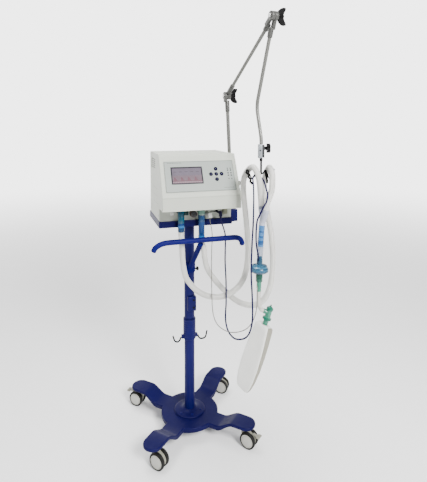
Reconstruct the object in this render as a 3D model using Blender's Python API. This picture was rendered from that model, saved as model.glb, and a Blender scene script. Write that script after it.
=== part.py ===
"""A mechanical ventilator on a roll stand, with its breathing circuit and circuit arm.

Metres, +Z up, the front faces -Y. The design frame stands on the column's axis, and its
origin lies FLOOR below the surface that the castors roll on. Every object hangs from the
empty "stand", which moves the design frame to the part's own origin.
"""
import math

import bmesh
import bpy
from mathutils import Matrix, Vector

# Driving dimensions
GAP = 0.0003
FLOOR = 0.0435
STAND_AT = (-0.0026, 0.0943, -FLOOR)

HUB_RADIUS, HUB_TOP, HUB_BOTTOM = 0.137, 0.1155, 0.093
ARM_HALF_WIDTH, ARM_REACH = 0.0445, 0.297
ARM_TOP, ARM_BOTTOM = 0.150, 0.136
RAMP_START, RAMP_END = 0.172, 0.245
COLUMN_RADIUS, COLUMN_WALL = 0.0243, 0.0025
FLANGE_RADIUS = 0.0735
HANDLE_RADIUS = 0.0115

WHEEL_RADIUS, WHEEL_WIDTH, TWIN_WIDTH = 0.037, 0.017, 0.050
CASTOR_TRAIL, CASTOR_PIVOT = 0.026, 0.290
CASTORS = {"fl": (-1, -1, 312), "fr": (1, -1, 310), "bl": (-1, 1, 140), "br": (1, 1, 325)}
BRAKED = ("bl", "fr")
STEM_RADIUS, STEM_TOP = 0.0055, 0.146
HOUSING_HALF, AXLE_RADIUS = 0.0075, 0.004
PEDAL_HINGE = (0.0485, 0.065)

TRAY_HALF, TRAY_FRONT, TRAY_BACK = 0.168, -0.1405, 0.1325
TRAY_BOTTOM, TRAY_RIM, TRAY_FLOOR = 1.0485, 1.0785, 0.003
CASE_HALF, COVER_HALF, CASE_WALL = 0.1655, 0.172, 0.003
CASE_BOTTOM, CASE_TOP, CASE_BACK = 1.0525, 1.372, 0.118
SPLIT_Y, LOWER_FRONT_Y = -0.135, -0.130
OVERHANG_Z = 1.141
LOUVRE_COUNT, LOUVRE_LONG, LOUVRE_HIGH, LOUVRE_PITCH = 5, 0.116, 0.004, 0.0095
LOUVRE_AT = (0.026, 1.303)
BACK_SLOTS, BACK_SLOT_LONG, BACK_SLOT_PITCH = 6, 0.070, 0.010
INLET_AT, INLET_WIDE, INLET_HIGH = (0.110, CASE_BACK, 1.105), 0.028, 0.020
SLOPE_TOP, SLOPE_FOOT, NOSE_FOOT = (-0.157, 1.372), (-0.247, 1.2005), (-0.250, 1.141)

PANEL_HALF, PANEL_TOP, PANEL_FOOT, PANEL_THICK = 0.154, 0.034, 0.173, 0.002
GLASS_THICK = 0.0014
SCREEN_LEFT, SCREEN_RIGHT, SCREEN_TOP, SCREEN_FOOT = -0.127, 0.011, 0.060, 0.138
KEY_RADIUS, KEY_PITCH, KEYS_AT = 0.0085, 0.024, (0.072, 0.097)
KEYS = {"up": (0, -1), "down": (0, 1), "left": (-1, 0), "right": (1, 0), "ok": (0, 0)}

HOSE_DIAMETER, CABLE_DIAMETER, SAMPLE_DIAMETER = 0.025, 0.0065, 0.0035
LEFT_PORT, RIGHT_PORT = (-0.0775, -0.172), (0.014, -0.172)
CUFF_RADIUS, SPIGOT_RADIUS = 0.0145, 0.0110

POST_FOOT, ELBOW = Vector((0.204, -0.040, 1.035)), Vector((0.1755, -0.040, 1.637))
ARM_TIP = Vector((0.2298, -0.4385, 1.919))
REACH_WAY = Vector((0.135, -0.9908, 0.0)).normalized()
HINGE_WAY = Vector((0.9908, 0.135, 0.0)).normalized()
POST_RADIUS, LINK_RADIUS, SLEEVE_RADIUS = 0.008, 0.00675, 0.0108
KNUCKLE_RADIUS, KNUCKLE_THICK, KNUCKLE_OFFSET = 0.018, 0.0145, 0.0078
BOLT_RADIUS = 0.004
ELBOW_NECK, TIP_NECK, SLEEVE_END = 0.0225, 0.0440, 0.075

HANGER_AT = Vector((0.218, -0.352, 0.0))
HANGER_ACROSS = Vector((0.9567, -0.2911, 0.0)).normalized()
HANGER_AWAY = Vector((0.2911, 0.9567, 0.0)).normalized()
BLOCK_BOTTOM, BLOCK_TOP = 1.364, 1.421
HANGER_ROD, HANGER_ROD_TOP = 0.0045, 1.398

Y_LEFT, Y_RIGHT = Vector((0.1970, -0.4062, 1.1772)), Vector((0.2020, -0.4402, 1.1665))
Y_LEFT_WAY, Y_RIGHT_WAY = Vector((0.0, -0.10, -0.995)), Vector((-0.19, -0.013, -0.982))
Y_JOIN, Y_FOOT = Vector((0.196, -0.421, 1.128)), Vector((0.184, -0.423, 0.983))
SENSOR_FOOT = Vector((0.179, -0.428, 0.856))
LUNG_TOP, LUNG_FOOT = Vector((0.199, -0.442, 0.711)), Vector((0.109, -0.428, 0.456))


# Building blocks

def clear_scene():
    for thing in list(bpy.data.objects):
        bpy.data.objects.remove(thing, do_unlink=True)


def material(name, colour, roughness, metallic=0.0, alpha=1.0):
    look = bpy.data.materials.new(name)
    look.use_nodes = True
    shader = look.node_tree.nodes["Principled BSDF"]
    shader.inputs["Base Color"].default_value = (*colour, 1.0)
    shader.inputs["Roughness"].default_value = roughness
    shader.inputs["Metallic"].default_value = metallic
    shader.inputs["Alpha"].default_value = alpha
    look.diffuse_color = (*colour, alpha)
    return look


def empty(name, at, on=None):
    """A named point that pieces hang from. JOINTS keeps its place in the design frame."""
    point = bpy.data.objects.new(name, None)
    bpy.context.scene.collection.objects.link(point)
    JOINTS[name] = Vector(at)
    if on is not None:
        point.parent = on
        point.location = JOINTS[name] - JOINTS[on.name]
    return point


def facing(z_way, x_way=None):
    """The rotation that turns local +Z to z_way, and local +X as near to x_way as it can."""
    z_axis = Vector(z_way).normalized()
    guess = Vector(x_way) if x_way is not None else Vector((1, 0, 0))
    if abs(guess.normalized().dot(z_axis)) > 0.99:
        guess = Vector((0, 1, 0))
    x_axis = (guess - z_axis * guess.dot(z_axis)).normalized()
    y_axis = z_axis.cross(x_axis)
    return Matrix((x_axis, y_axis, z_axis)).transposed()


def place(thing, at, turn, on):
    thing.parent = on
    thing.location = Vector(at) - JOINTS[on.name]
    if turn is not None:
        thing.rotation_euler = turn.to_euler()
    return thing


def as_mesh(bm, name):
    bmesh.ops.recalc_face_normals(bm, faces=bm.faces)
    mesh = bpy.data.meshes.new(name)
    bm.to_mesh(mesh)
    bm.free()
    mesh.shade_smooth()
    mesh.set_sharp_from_angle(angle=math.radians(35))
    return mesh


def solid(name, bm, look, at=(0, 0, 0), turn=None, on=None):
    """A new object from a bmesh, with its own origin at the point "at" of the design frame."""
    mesh = as_mesh(bm, name)
    mesh.materials.append(look)
    thing = bpy.data.objects.new(name, mesh)
    bpy.context.scene.collection.objects.link(thing)
    return place(thing, at, turn, on or STAND)


def combine(thing, bm, operation, at, turn, solver):
    """Adds a shape to an object, or takes it away, by a Boolean with a hidden operand."""
    name = f"{thing.name}_{operation.lower()}_{len(thing.modifiers)}"
    tool = bpy.data.objects.new(name, as_mesh(bm, name))
    bpy.context.scene.collection.objects.link(tool)
    if at is None:
        tool.parent = thing
    else:
        place(tool, at, turn, thing.parent)
    tool.hide_render = True
    tool.display_type = "WIRE"
    change = thing.modifiers.new(name, "BOOLEAN")
    change.object = tool
    change.operation = operation
    change.solver = solver


def fuse(thing, bm, at=None, turn=None, solver="EXACT"):
    combine(thing, bm, "UNION", at, turn, solver)


def cut(thing, bm, at=None, turn=None, solver="EXACT"):
    combine(thing, bm, "DIFFERENCE", at, turn, solver)


def soften(thing, width, segments=2):
    """A rounded edge on every corner sharper than 40 degrees."""
    bevel = thing.modifiers.new("soft_edges", "BEVEL")
    bevel.width = width
    bevel.segments = segments
    bevel.limit_method = "ANGLE"
    bevel.angle_limit = math.radians(40)


def block(size, centre=(0, 0, 0), bevel=0.0):
    bm = bmesh.new()
    bmesh.ops.create_cube(bm, size=1.0)
    bmesh.ops.scale(bm, vec=size, verts=bm.verts)
    if bevel:
        bmesh.ops.bevel(bm, geom=bm.edges[:], offset=bevel, segments=2, profile=0.5, affect="EDGES")
    bmesh.ops.translate(bm, vec=centre, verts=bm.verts)
    return bm


def join_rings(bm, low, high):
    count = max(len(low), len(high))
    for i in range(count):
        j = (i + 1) % count
        corners = [low[i % len(low)], low[j % len(low)], high[j % len(high)], high[i % len(high)]]
        distinct = [v for k, v in enumerate(corners) if v not in corners[:k]]
        if len(distinct) > 2:
            bm.faces.new(distinct)


def turned(profile, sides=24):
    """A turned body. Its profile (radius, height) starts and ends on the axis, or is a closed ring."""
    bm = bmesh.new()
    rings = []
    for radius, height in profile:
        if radius == 0.0:
            rings.append([bm.verts.new((0, 0, height))])
            continue
        angles = [2 * math.pi * i / sides for i in range(sides)]
        rings.append([bm.verts.new((radius * math.cos(a), radius * math.sin(a), height)) for a in angles])
    pairs = list(zip(rings, rings[1:]))
    if profile[0][0] != 0.0:
        pairs.append((rings[-1], rings[0]))
    for low, high in pairs:
        join_rings(bm, low, high)
    return bm


def rod(radius, low, high, sides=16, edge=0.0):
    """A round bar along +Z, with an optional chamfer at both ends."""
    if edge:
        rim = [(radius - edge, low), (radius, low + edge), (radius, high - edge), (radius - edge, high)]
    else:
        rim = [(radius, low), (radius, high)]
    return turned([(0.0, low), *rim, (0.0, high)], sides)


def tube(outer, inner, low, high, sides=24):
    return turned([(outer, low), (outer, high), (inner, high), (inner, low)], sides)


def prism(outline, low, high):
    """A flat outline in XY, extruded along +Z."""
    bm = bmesh.new()
    foot = [bm.verts.new((x, y, low)) for x, y in outline]
    head = [bm.verts.new((x, y, high)) for x, y in outline]
    bm.faces.new(foot)
    bm.faces.new(head)
    join_rings(bm, foot, head)
    return bm


def circle(radius, sides, centre=(0.0, 0.0), start=0.0, sweep=2 * math.pi):
    whole = abs(sweep - 2 * math.pi) < 1e-6
    steps = sides if whole else sides - 1
    angles = [start + sweep * i / steps for i in range(sides)]
    return [(centre[0] + radius * math.cos(a), centre[1] + radius * math.sin(a)) for a in angles]


def smooth_route(points, step):
    """Evenly spaced points on a Catmull-Rom curve through the given points."""
    knots = [Vector(p) for p in points]
    knots = [2 * knots[0] - knots[1], *knots, 2 * knots[-1] - knots[-2]]
    fine = []
    for a, b, c, d in zip(knots, knots[1:], knots[2:], knots[3:]):
        for i in range(24):
            t = i / 24
            bend = a * (-t + 2 * t * t - t**3) + b * (2 - 5 * t * t + 3 * t**3)
            fine.append(0.5 * (bend + c * (t + 4 * t * t - 3 * t**3) + d * (t**3 - t * t)))
    fine.append(knots[-2])
    lengths = [0.0]
    for a, b in zip(fine, fine[1:]):
        lengths.append(lengths[-1] + (b - a).length)
    count = max(2, round(lengths[-1] / step))
    route, k = [], 0
    for i in range(count + 1):
        want = lengths[-1] * i / count
        while k < len(fine) - 2 and lengths[k + 1] < want:
            k += 1
        share = (want - lengths[k]) / max(lengths[k + 1] - lengths[k], 1e-9)
        route.append(fine[k].lerp(fine[k + 1], min(share, 1.0)))
    return route


def swept(route, section, side=None, scales=None):
    """A section (u, v) carried along a route without twist, with closed ends."""
    points = [Vector(p) for p in route]
    bm = bmesh.new()
    rings = []
    across = None
    for i, point in enumerate(points):
        along = (points[min(i + 1, len(points) - 1)] - points[max(i - 1, 0)]).normalized()
        if across is None:
            across = Vector(side) if side is not None else along.orthogonal()
        across = (across - along * across.dot(along)).normalized()
        up = along.cross(across)
        scale = scales[i] if scales else 1.0
        rings.append([bm.verts.new(point + (across * u + up * v) * scale) for u, v in section])
    for low, high in zip(rings, rings[1:]):
        join_rings(bm, low, high)
    bm.faces.new(rings[0])
    bm.faces.new(rings[-1])
    return bm


def bar(route, radius, sides=10, ends=0.0):
    """A round bar along a route, its ends rounded over the length "ends"."""
    points = [Vector(p) for p in route]
    if not ends:
        return swept(points, circle(radius, sides))
    first = (points[0] - points[1]).normalized()
    last = (points[-1] - points[-2]).normalized()
    head = [points[0] + first * ends, points[0] + first * ends * 0.7]
    tail = [points[-1] + last * ends * 0.7, points[-1] + last * ends]
    scales = [0.35, 0.78] + [1.0] * len(points) + [0.78, 0.35]
    return swept([*head, *points, *tail], circle(radius, sides), scales=scales)


def cord(name, route, diameter, step, resolution, look):
    """A free hose or cable: a curve with a round section and closed ends."""
    points = smooth_route(route, step)
    first, last = Vector(route[1]) - Vector(route[0]), Vector(route[-2]) - Vector(route[-1])
    points[1:1] = [points[0] + first.normalized() * diameter / 3]
    points[-1:-1] = [points[-1] + last.normalized() * diameter / 3]
    data = bpy.data.curves.new(name, "CURVE")
    data.dimensions = "3D"
    data.bevel_depth = diameter / 2
    data.bevel_resolution = resolution
    data.use_fill_caps = True
    spline = data.splines.new("POLY")
    spline.points.add(len(points) - 1)
    for spot, point in zip(spline.points, points):
        spot.co = (*point, 1.0)
    data.materials.append(look)
    thing = bpy.data.objects.new(name, data)
    bpy.context.scene.collection.objects.link(thing)
    return place(thing, (0, 0, 0), None, STAND)


# Base and column

def star_outline():
    """A round hub with four straight, round-ended arms on its diagonals."""
    root = math.asin(ARM_HALF_WIDTH / HUB_RADIUS)
    outline = []
    for quarter in range(4):
        way = math.radians(45 + 90 * quarter)
        turn = Matrix.Rotation(way, 2)
        tip = circle(ARM_HALF_WIDTH, 7, (ARM_REACH, 0.0), -math.pi / 2, math.pi)
        outline += [tuple(turn @ Vector(p)) for p in tip]
        outline += circle(HUB_RADIUS, 5, start=way + root, sweep=math.pi / 2 - 2 * root)
    return outline


def arm_share(point):
    """How far a point is up the ramp of its arm, from 0 on the hub to 1 on the arm's end."""
    reach = max(abs(point.x + point.y), abs(point.x - point.y)) / math.sqrt(2)
    share = (reach - RAMP_START) / (RAMP_END - RAMP_START)
    return min(max(share, 0.0), 1.0)


def make_base():
    bm = prism(star_outline(), HUB_BOTTOM, HUB_TOP)
    stations = [RAMP_START, RAMP_END]
    for quarter in range(4):
        way = math.radians(45 + 90 * quarter)
        normal = Vector((math.cos(way), math.sin(way), 0))
        for station in stations:
            geometry = bm.verts[:] + bm.edges[:] + bm.faces[:]
            bmesh.ops.bisect_plane(bm, geom=geometry, plane_co=normal * station, plane_no=normal)
    middle = (HUB_TOP + HUB_BOTTOM) / 2
    for vert in bm.verts:
        share = arm_share(vert.co)
        if vert.co.z > middle:
            vert.co.z += share * (ARM_TOP - HUB_TOP)
        else:
            vert.co.z += share * (ARM_BOTTOM - HUB_BOTTOM)
    base = solid("base_star", bm, BLUE)
    soften(base, 0.004, 1)
    for x, y, _ in CASTORS.values():
        at = Vector((x, y, 0)) * CASTOR_PIVOT / math.sqrt(2)
        cut(base, rod(STEM_RADIUS + GAP, ARM_BOTTOM - 0.01, STEM_TOP + GAP, 10), at)


def make_column():
    bore = COLUMN_RADIUS + GAP
    foot = HUB_TOP + GAP
    profile = [(bore, foot), (FLANGE_RADIUS, foot), (FLANGE_RADIUS, foot + 0.004),
               (FLANGE_RADIUS - 0.004, foot + 0.0075), (0.045, foot + 0.0095), (0.034, foot + 0.0125),
               (0.030, foot + 0.0155), (bore, foot + 0.0155)]
    solid("column_flange", turned(profile, 20), BLUE)
    inner = COLUMN_RADIUS - COLUMN_WALL
    solid("column", tube(COLUMN_RADIUS, inner, foot, TRAY_BOTTOM - GAP, 20), BLUE)


def make_column_fittings():
    bore = COLUMN_RADIUS + GAP
    clamp = solid("accessory_clamp", block((0.041, 0.032, 0.070), (0.0055, -0.018, 0.650), 0.002), BLUE)
    cut(clamp, rod(bore, 0.60, 0.70, 20))
    for z in (0.632, 0.668):
        screw = turned([(0.0, -0.004), (0.0045, -0.004), (0.0045, 0.002), (0.0030, 0.0032),
                        (0.0, 0.0032)], 8)
        fuse(clamp, screw, (0.0135, -0.034, z), facing((0, -1, 0)))
    profile = [(bore, 0.472), (0.0290, 0.472), (0.0300, 0.4735), (0.0300, 0.5695), (0.0290, 0.571),
               (bore, 0.571)]
    collar = solid("hook_collar", turned(profile, 20), BLUE)
    for side in (-1, 1):
        fuse(collar, block((0.014, 0.012, 0.018), (side * 0.0325, 0, 0.483), 0.001))
    left = [(-0.0428, 0, 0.479), (-0.047, 0, 0.468), (-0.058, 0, 0.459), (-0.072, 0, 0.466),
            (-0.081, 0, 0.490)]
    right = [(0.0428, 0, 0.479), (0.047, 0, 0.467), (0.059, 0, 0.459), (0.079, 0, 0.464),
             (0.088, 0, 0.494)]
    for name, route in (("hook_left", left), ("hook_right", right)):
        solid(name, bar(smooth_route(route, 0.008), 0.003, 8, 0.002), BLACK_METAL)


def make_handle():
    route = [(-0.205, -0.217, 0.975), (-0.197, -0.217, 0.988), (-0.177, -0.217, 1.000),
             (-0.155, -0.217, 1.005), (-0.134, -0.217, 1.006), (0.138, -0.217, 1.006),
             (0.158, -0.217, 1.005), (0.174, -0.217, 1.000), (0.184, -0.217, 0.989), (0.188, -0.217, 0.974)]
    solid("handle_bar", bar(route, HANDLE_RADIUS, 12, 0.006), HANDLE_BLUE)
    bore = COLUMN_RADIUS + GAP
    profile = [(bore, 0.798), (0.0275, 0.798), (0.0285, 0.800), (0.0285, 0.846), (0.0275, 0.848),
               (bore, 0.848)]
    brace = solid("handle_brace", turned(profile, 20), BLUE)
    foot, head = Vector((0, -0.012, 0.819)), Vector((-0.002, -0.217, 0.990))
    fuse(brace, rod(0.0105, 0.0, (head - foot).length, 12), foot, facing(head - foot))
    cut(brace, rod(bore, 0.78, 0.88, 20))
    cut(brace, rod(HANDLE_RADIUS + GAP, -0.05, 0.05, 16), (0, -0.217, 1.006), facing((1, 0, 0), (0, 1, 0)))
    knob = [(0.0, 0.0), (0.0035, 0.0), (0.0035, 0.008), (0.0090, 0.009), (0.0098, 0.012), (0.0090, 0.018),
            (0.0, 0.019)]
    fuse(brace, turned(knob, 12), (0.0268, 0.0, 0.808), facing((1, 0, 0)))


# Castors

def housing_outline():
    """The outline of a castor's housing, seen from its side: a disc about the axle and a neck."""
    disc = circle(0.031, 12, (CASTOR_TRAIL, WHEEL_RADIUS), math.radians(-155), math.radians(205))
    return [*disc, (0.012, 0.0815), (-0.011, 0.0815), (-0.011, 0.060)]


def wheel_profile():
    """Half of a twin wheel's section, from the axle's middle outwards: axle, tread and cap."""
    inner, outer = (TWIN_WIDTH - 2 * WHEEL_WIDTH) / 2, TWIN_WIDTH / 2
    radius = WHEEL_RADIUS
    return [(AXLE_RADIUS, inner), (radius - 0.003, inner), (radius, inner + 0.004), (radius, outer - 0.004),
            (radius - 0.003, outer - 0.0005), (radius - 0.006, outer - 0.0015), (0.0, outer)]


def make_castor(code):
    x, y, heading = CASTORS[code]
    pivot = Vector((x, y, 0)) * CASTOR_PIVOT / math.sqrt(2) + Vector((0, 0, FLOOR))
    turn = Matrix.Rotation(math.radians(heading), 3, "Z")
    swivel = empty(f"castor_swivel_{code}", pivot, STAND)
    upright = turn @ facing((0, -1, 0), (1, 0, 0))
    fork = prism(housing_outline(), -HOUSING_HALF, HOUSING_HALF)
    fork = solid(f"caster_fork_{code}", fork, CASTOR_GREY, pivot, upright, swivel)
    collar_top = ARM_BOTTOM - FLOOR - GAP
    collar = [(0.0, 0.074), (0.012, 0.074), (0.0135, 0.078), (0.0135, 0.087), (0.012, collar_top),
              (STEM_RADIUS, collar_top), (STEM_RADIUS, STEM_TOP - FLOOR), (0.0, STEM_TOP - FLOOR)]
    fuse(fork, turned(collar, 10), pivot)
    axle_at = pivot + turn @ Vector((CASTOR_TRAIL, 0, WHEEL_RADIUS))
    cut(fork, rod(AXLE_RADIUS + GAP, -0.02, 0.02, 12), axle_at, upright)
    half = wheel_profile()
    profile = [(r, -h) for r, h in reversed(half)] + half
    axle = empty(f"castor_axle_{code}", axle_at, swivel)
    solid(f"caster_wheels_{code}", turned(profile, 16), TYRE, axle_at, upright, axle)
    if code in BRAKED:
        hinge_at = pivot + turn @ Vector((PEDAL_HINGE[0], 0, PEDAL_HINGE[1]))
        hinge = empty(f"castor_brake_{code}", hinge_at, swivel)
        knuckle = solid(f"brake_pedal_{code}", rod(0.0040, -0.0068, 0.0068, 12), CASTOR_GREY,
                        hinge_at, upright, hinge)
        fuse(knuckle, block((0.022, 0.0130, 0.005), (0.011, 0, 0.0), 0.0008), hinge_at, turn)
        fuse(knuckle, block((0.018, 0.030, 0.0055), (0.026, 0, 0.0), 0.0015), hinge_at, turn)


# Ventilator

def side_prism(profile, half):
    """A (y, z) outline, extruded across the machine from -half to +half."""
    bm = prism(profile, -half, half)
    for vert in bm.verts:
        y, z, x = vert.co
        vert.co = Vector((x, y, z))
    return bm


def make_tray():
    middle = (TRAY_FRONT + TRAY_BACK) / 2
    depth = TRAY_BACK - TRAY_FRONT
    height = TRAY_RIM - TRAY_BOTTOM
    tray = solid("tray", block((2 * TRAY_HALF, depth, height), (0, middle, TRAY_BOTTOM + height / 2)), BLUE)
    soften(tray, 0.003)
    wall = 0.0032
    inside = (2 * (TRAY_HALF - wall), depth - 2 * wall, height)
    cut(tray, block(inside, (0, middle, TRAY_BOTTOM + height / 2 + TRAY_FLOOR)))


def make_rear_casing():
    back, top, bottom = CASE_BACK, CASE_TOP, CASE_BOTTOM
    front = SPLIT_Y + GAP
    outline = [(front, top), (back - 0.010, top), (back - 0.003, top - 0.003), (back, top - 0.010),
               (back, bottom), (LOWER_FRONT_Y, bottom), (LOWER_FRONT_Y, OVERHANG_Z - 0.001),
               (front, OVERHANG_Z - 0.001)]
    case = solid("rear_casing", side_prism(outline, CASE_HALF), CASING)
    soften(case, 0.0015, 1)
    foot = TRAY_RIM + 0.001
    for side in (-1, 1):
        step = block((0.006, 0.300, 0.060), (side * (CASE_HALF + 0.0015), 0, foot - 0.030))
        cut(case, step)
    wall = CASE_WALL
    inner = [(front - 0.01, top - wall), (back - wall - 0.008, top - wall),
             (back - wall, top - wall - 0.008),
             (back - wall, bottom + wall), (LOWER_FRONT_Y + wall, bottom + wall),
             (LOWER_FRONT_Y + wall, OVERHANG_Z + 0.002), (front - 0.01, OVERHANG_Z + 0.002)]
    cut(case, side_prism(inner, CASE_HALF - wall - 0.002))
    for i in range(LOUVRE_COUNT):
        louvre_at = (-CASE_HALF, LOUVRE_AT[0], LOUVRE_AT[1] + LOUVRE_PITCH * i)
        cut(case, block((0.02, LOUVRE_LONG, LOUVRE_HIGH), louvre_at))
    for i in range(BACK_SLOTS):
        slot_at = (-0.090, back, 1.230 + BACK_SLOT_PITCH * i)
        cut(case, block((BACK_SLOT_LONG, 0.02, LOUVRE_HIGH), slot_at))
    cut(case, block((INLET_WIDE + 2 * GAP, 0.02, INLET_HIGH + 2 * GAP), INLET_AT))


def make_front_cover():
    back = SPLIT_Y
    outline = [(back, CASE_TOP), (SLOPE_TOP[0] + 0.006, CASE_TOP),
               (SLOPE_TOP[0] + 0.0015, CASE_TOP - 0.0015),
               (SLOPE_TOP[0] - 0.0025, CASE_TOP - 0.0048), SLOPE_FOOT, NOSE_FOOT, (back, OVERHANG_Z)]
    cover = solid("front_cover", side_prism(outline, COVER_HALF), CASING)
    soften(cover, 0.003, 2)
    wall = CASE_WALL
    slope = Vector((SLOPE_FOOT[0] - SLOPE_TOP[0], SLOPE_FOOT[1] - SLOPE_TOP[1])).normalized()
    inward = Vector((-slope.y, slope.x)) * wall
    inner = [(back + 0.01, CASE_TOP - wall), (SLOPE_TOP[0] + wall * 0.6, CASE_TOP - wall),
             (SLOPE_FOOT[0] + inward.x, SLOPE_FOOT[1] + inward.y),
             (NOSE_FOOT[0] + wall, OVERHANG_Z + wall), (back + 0.01, OVERHANG_Z + wall)]
    cut(cover, side_prism(inner, COVER_HALF - wall))
    guard = [(0.0, -0.004), (0.010, -0.004), (0.010, 0.0025), (0.006, 0.005), (0.0, 0.005)]
    fuse(cover, turned(guard, 12), (COVER_HALF, -0.222, 1.246), facing((1, 0, 0)))


def on_slope(x, down, out):
    """A point of the sloping front: across, down the slope from its top edge, and out of it."""
    way = Vector((0, SLOPE_FOOT[0] - SLOPE_TOP[0], SLOPE_FOOT[1] - SLOPE_TOP[1])).normalized()
    return Vector((x, SLOPE_TOP[0], SLOPE_TOP[1])) + way * down + slope_normal() * out


def slope_normal():
    way = Vector((0, SLOPE_FOOT[0] - SLOPE_TOP[0], SLOPE_FOOT[1] - SLOPE_TOP[1])).normalized()
    return Vector((0, way.z, -way.y))


def make_front_panel():
    outward = slope_normal()
    turn = facing(outward, (1, 0, 0))
    long, middle = PANEL_FOOT - PANEL_TOP, (PANEL_TOP + PANEL_FOOT) / 2
    at = on_slope(0, middle, GAP + PANEL_THICK / 2)
    panel = solid("control_panel", block((2 * PANEL_HALF, long, PANEL_THICK)), PANEL_GREY, at, turn)
    screen_wide, screen_long = SCREEN_RIGHT - SCREEN_LEFT, SCREEN_FOOT - SCREEN_TOP
    screen_x, screen_y = (SCREEN_LEFT + SCREEN_RIGHT) / 2, (SCREEN_TOP + SCREEN_FOOT) / 2
    hole = block((screen_wide + 2 * GAP, screen_long + 2 * GAP, 0.01))
    cut(panel, hole, on_slope(screen_x, screen_y, 0), turn)
    glass = block((screen_wide, screen_long, GLASS_THICK), bevel=0.0003)
    solid("display_window", glass, DISPLAY, on_slope(screen_x, screen_y, GAP + GLASS_THICK / 2), turn)
    for name, (across, down) in KEYS.items():
        x, y = KEYS_AT[0] + across * KEY_PITCH, KEYS_AT[1] + down * KEY_PITCH
        cut(panel, rod(KEY_RADIUS + GAP, -0.005, 0.008, 14), on_slope(x, y, 0), turn)
        slide = empty(f"key_slide_{name}", on_slope(x, y, 0), STAND)
        cap = [(0.0, 0.0012), (KEY_RADIUS, 0.0012), (KEY_RADIUS, 0.0036), (KEY_RADIUS - 0.0008, 0.0045),
               (0.0, 0.0040)]
        solid(f"key_{name}", turned(cap, 14), KEY_BLUE, on_slope(x, y, 0), turn, slide)


def make_inside():
    floor = CASE_BOTTOM + CASE_WALL + GAP
    board = block((0.270, 0.0016, 0.170), (-0.005, -0.118, floor + 0.100))
    board = solid("circuit_board", board, BOARD_GREEN)
    chips = ((-0.09, 1.21, 0.05, 0.035), (0.02, 1.19, 0.028, 0.028), (0.09, 1.21, 0.03, 0.05))
    for x, z, wide, high in chips:
        fuse(board, block((wide, 0.008, high), (x, -0.1145, z)))
    for x in (-0.12, 0.11):
        fuse(board, block((0.010, 0.010, 0.022), (x, -0.118, floor + 0.011)))
    supply = block((0.100, 0.070, 0.045), (0.095, 0.050, floor + 0.0225), 0.0015)
    solid("power_supply", supply, STEEL)
    middle = Vector((-0.080, 0.050, floor))
    blower = solid("blower_housing", rod(0.048, 0.0, 0.046, 20), DARK_PLASTIC, middle)
    fuse(blower, block((0.020, 0.055, 0.024), (-0.036, -0.045, 0.016)))
    cut(blower, rod(0.0440, 0.004, 0.0425, 20))
    cut(blower, rod(0.0180, 0.03, 0.06, 16))
    cut(blower, block((0.014, 0.080, 0.018), (-0.036, -0.053, 0.016)))
    fuse(blower, rod(0.0025, 0.003, 0.012, 12))
    spin = empty("blower_spin", middle, STAND)
    profile = [(0.0028, 0.0145), (0.0080, 0.0085), (0.0400, 0.0085), (0.0400, 0.0105), (0.0110, 0.0125),
               (0.0100, 0.0300), (0.0028, 0.0300)]
    wheel = solid("blower_impeller", turned(profile, 20), STEEL, middle, None, spin)
    for i in range(8):
        blade = block((0.027, 0.0012, 0.018), (0.024, 0, 0.0185))
        around = Matrix.Rotation(math.tau * i / 8, 3, "Z")
        bmesh.ops.rotate(blade, cent=(0, 0, 0), matrix=around, verts=blade.verts)
        fuse(wheel, blade)
    inlet = block((INLET_WIDE, 0.022, INLET_HIGH), (INLET_AT[0], INLET_AT[1] - 0.0105, INLET_AT[2]))
    inlet = solid("power_inlet", inlet, BLACK_PLASTIC)
    cut(inlet, block((0.021, 0.02, 0.013), (INLET_AT[0], INLET_AT[1] - 0.002, INLET_AT[2])))
    for x, z in ((-0.006, 0.002), (0.006, 0.002), (0.0, -0.0025)):
        fuse(inlet, block((0.0024, 0.014, 0.005), (INLET_AT[0] + x, INLET_AT[1] - 0.008, INLET_AT[2] + z)))


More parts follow.
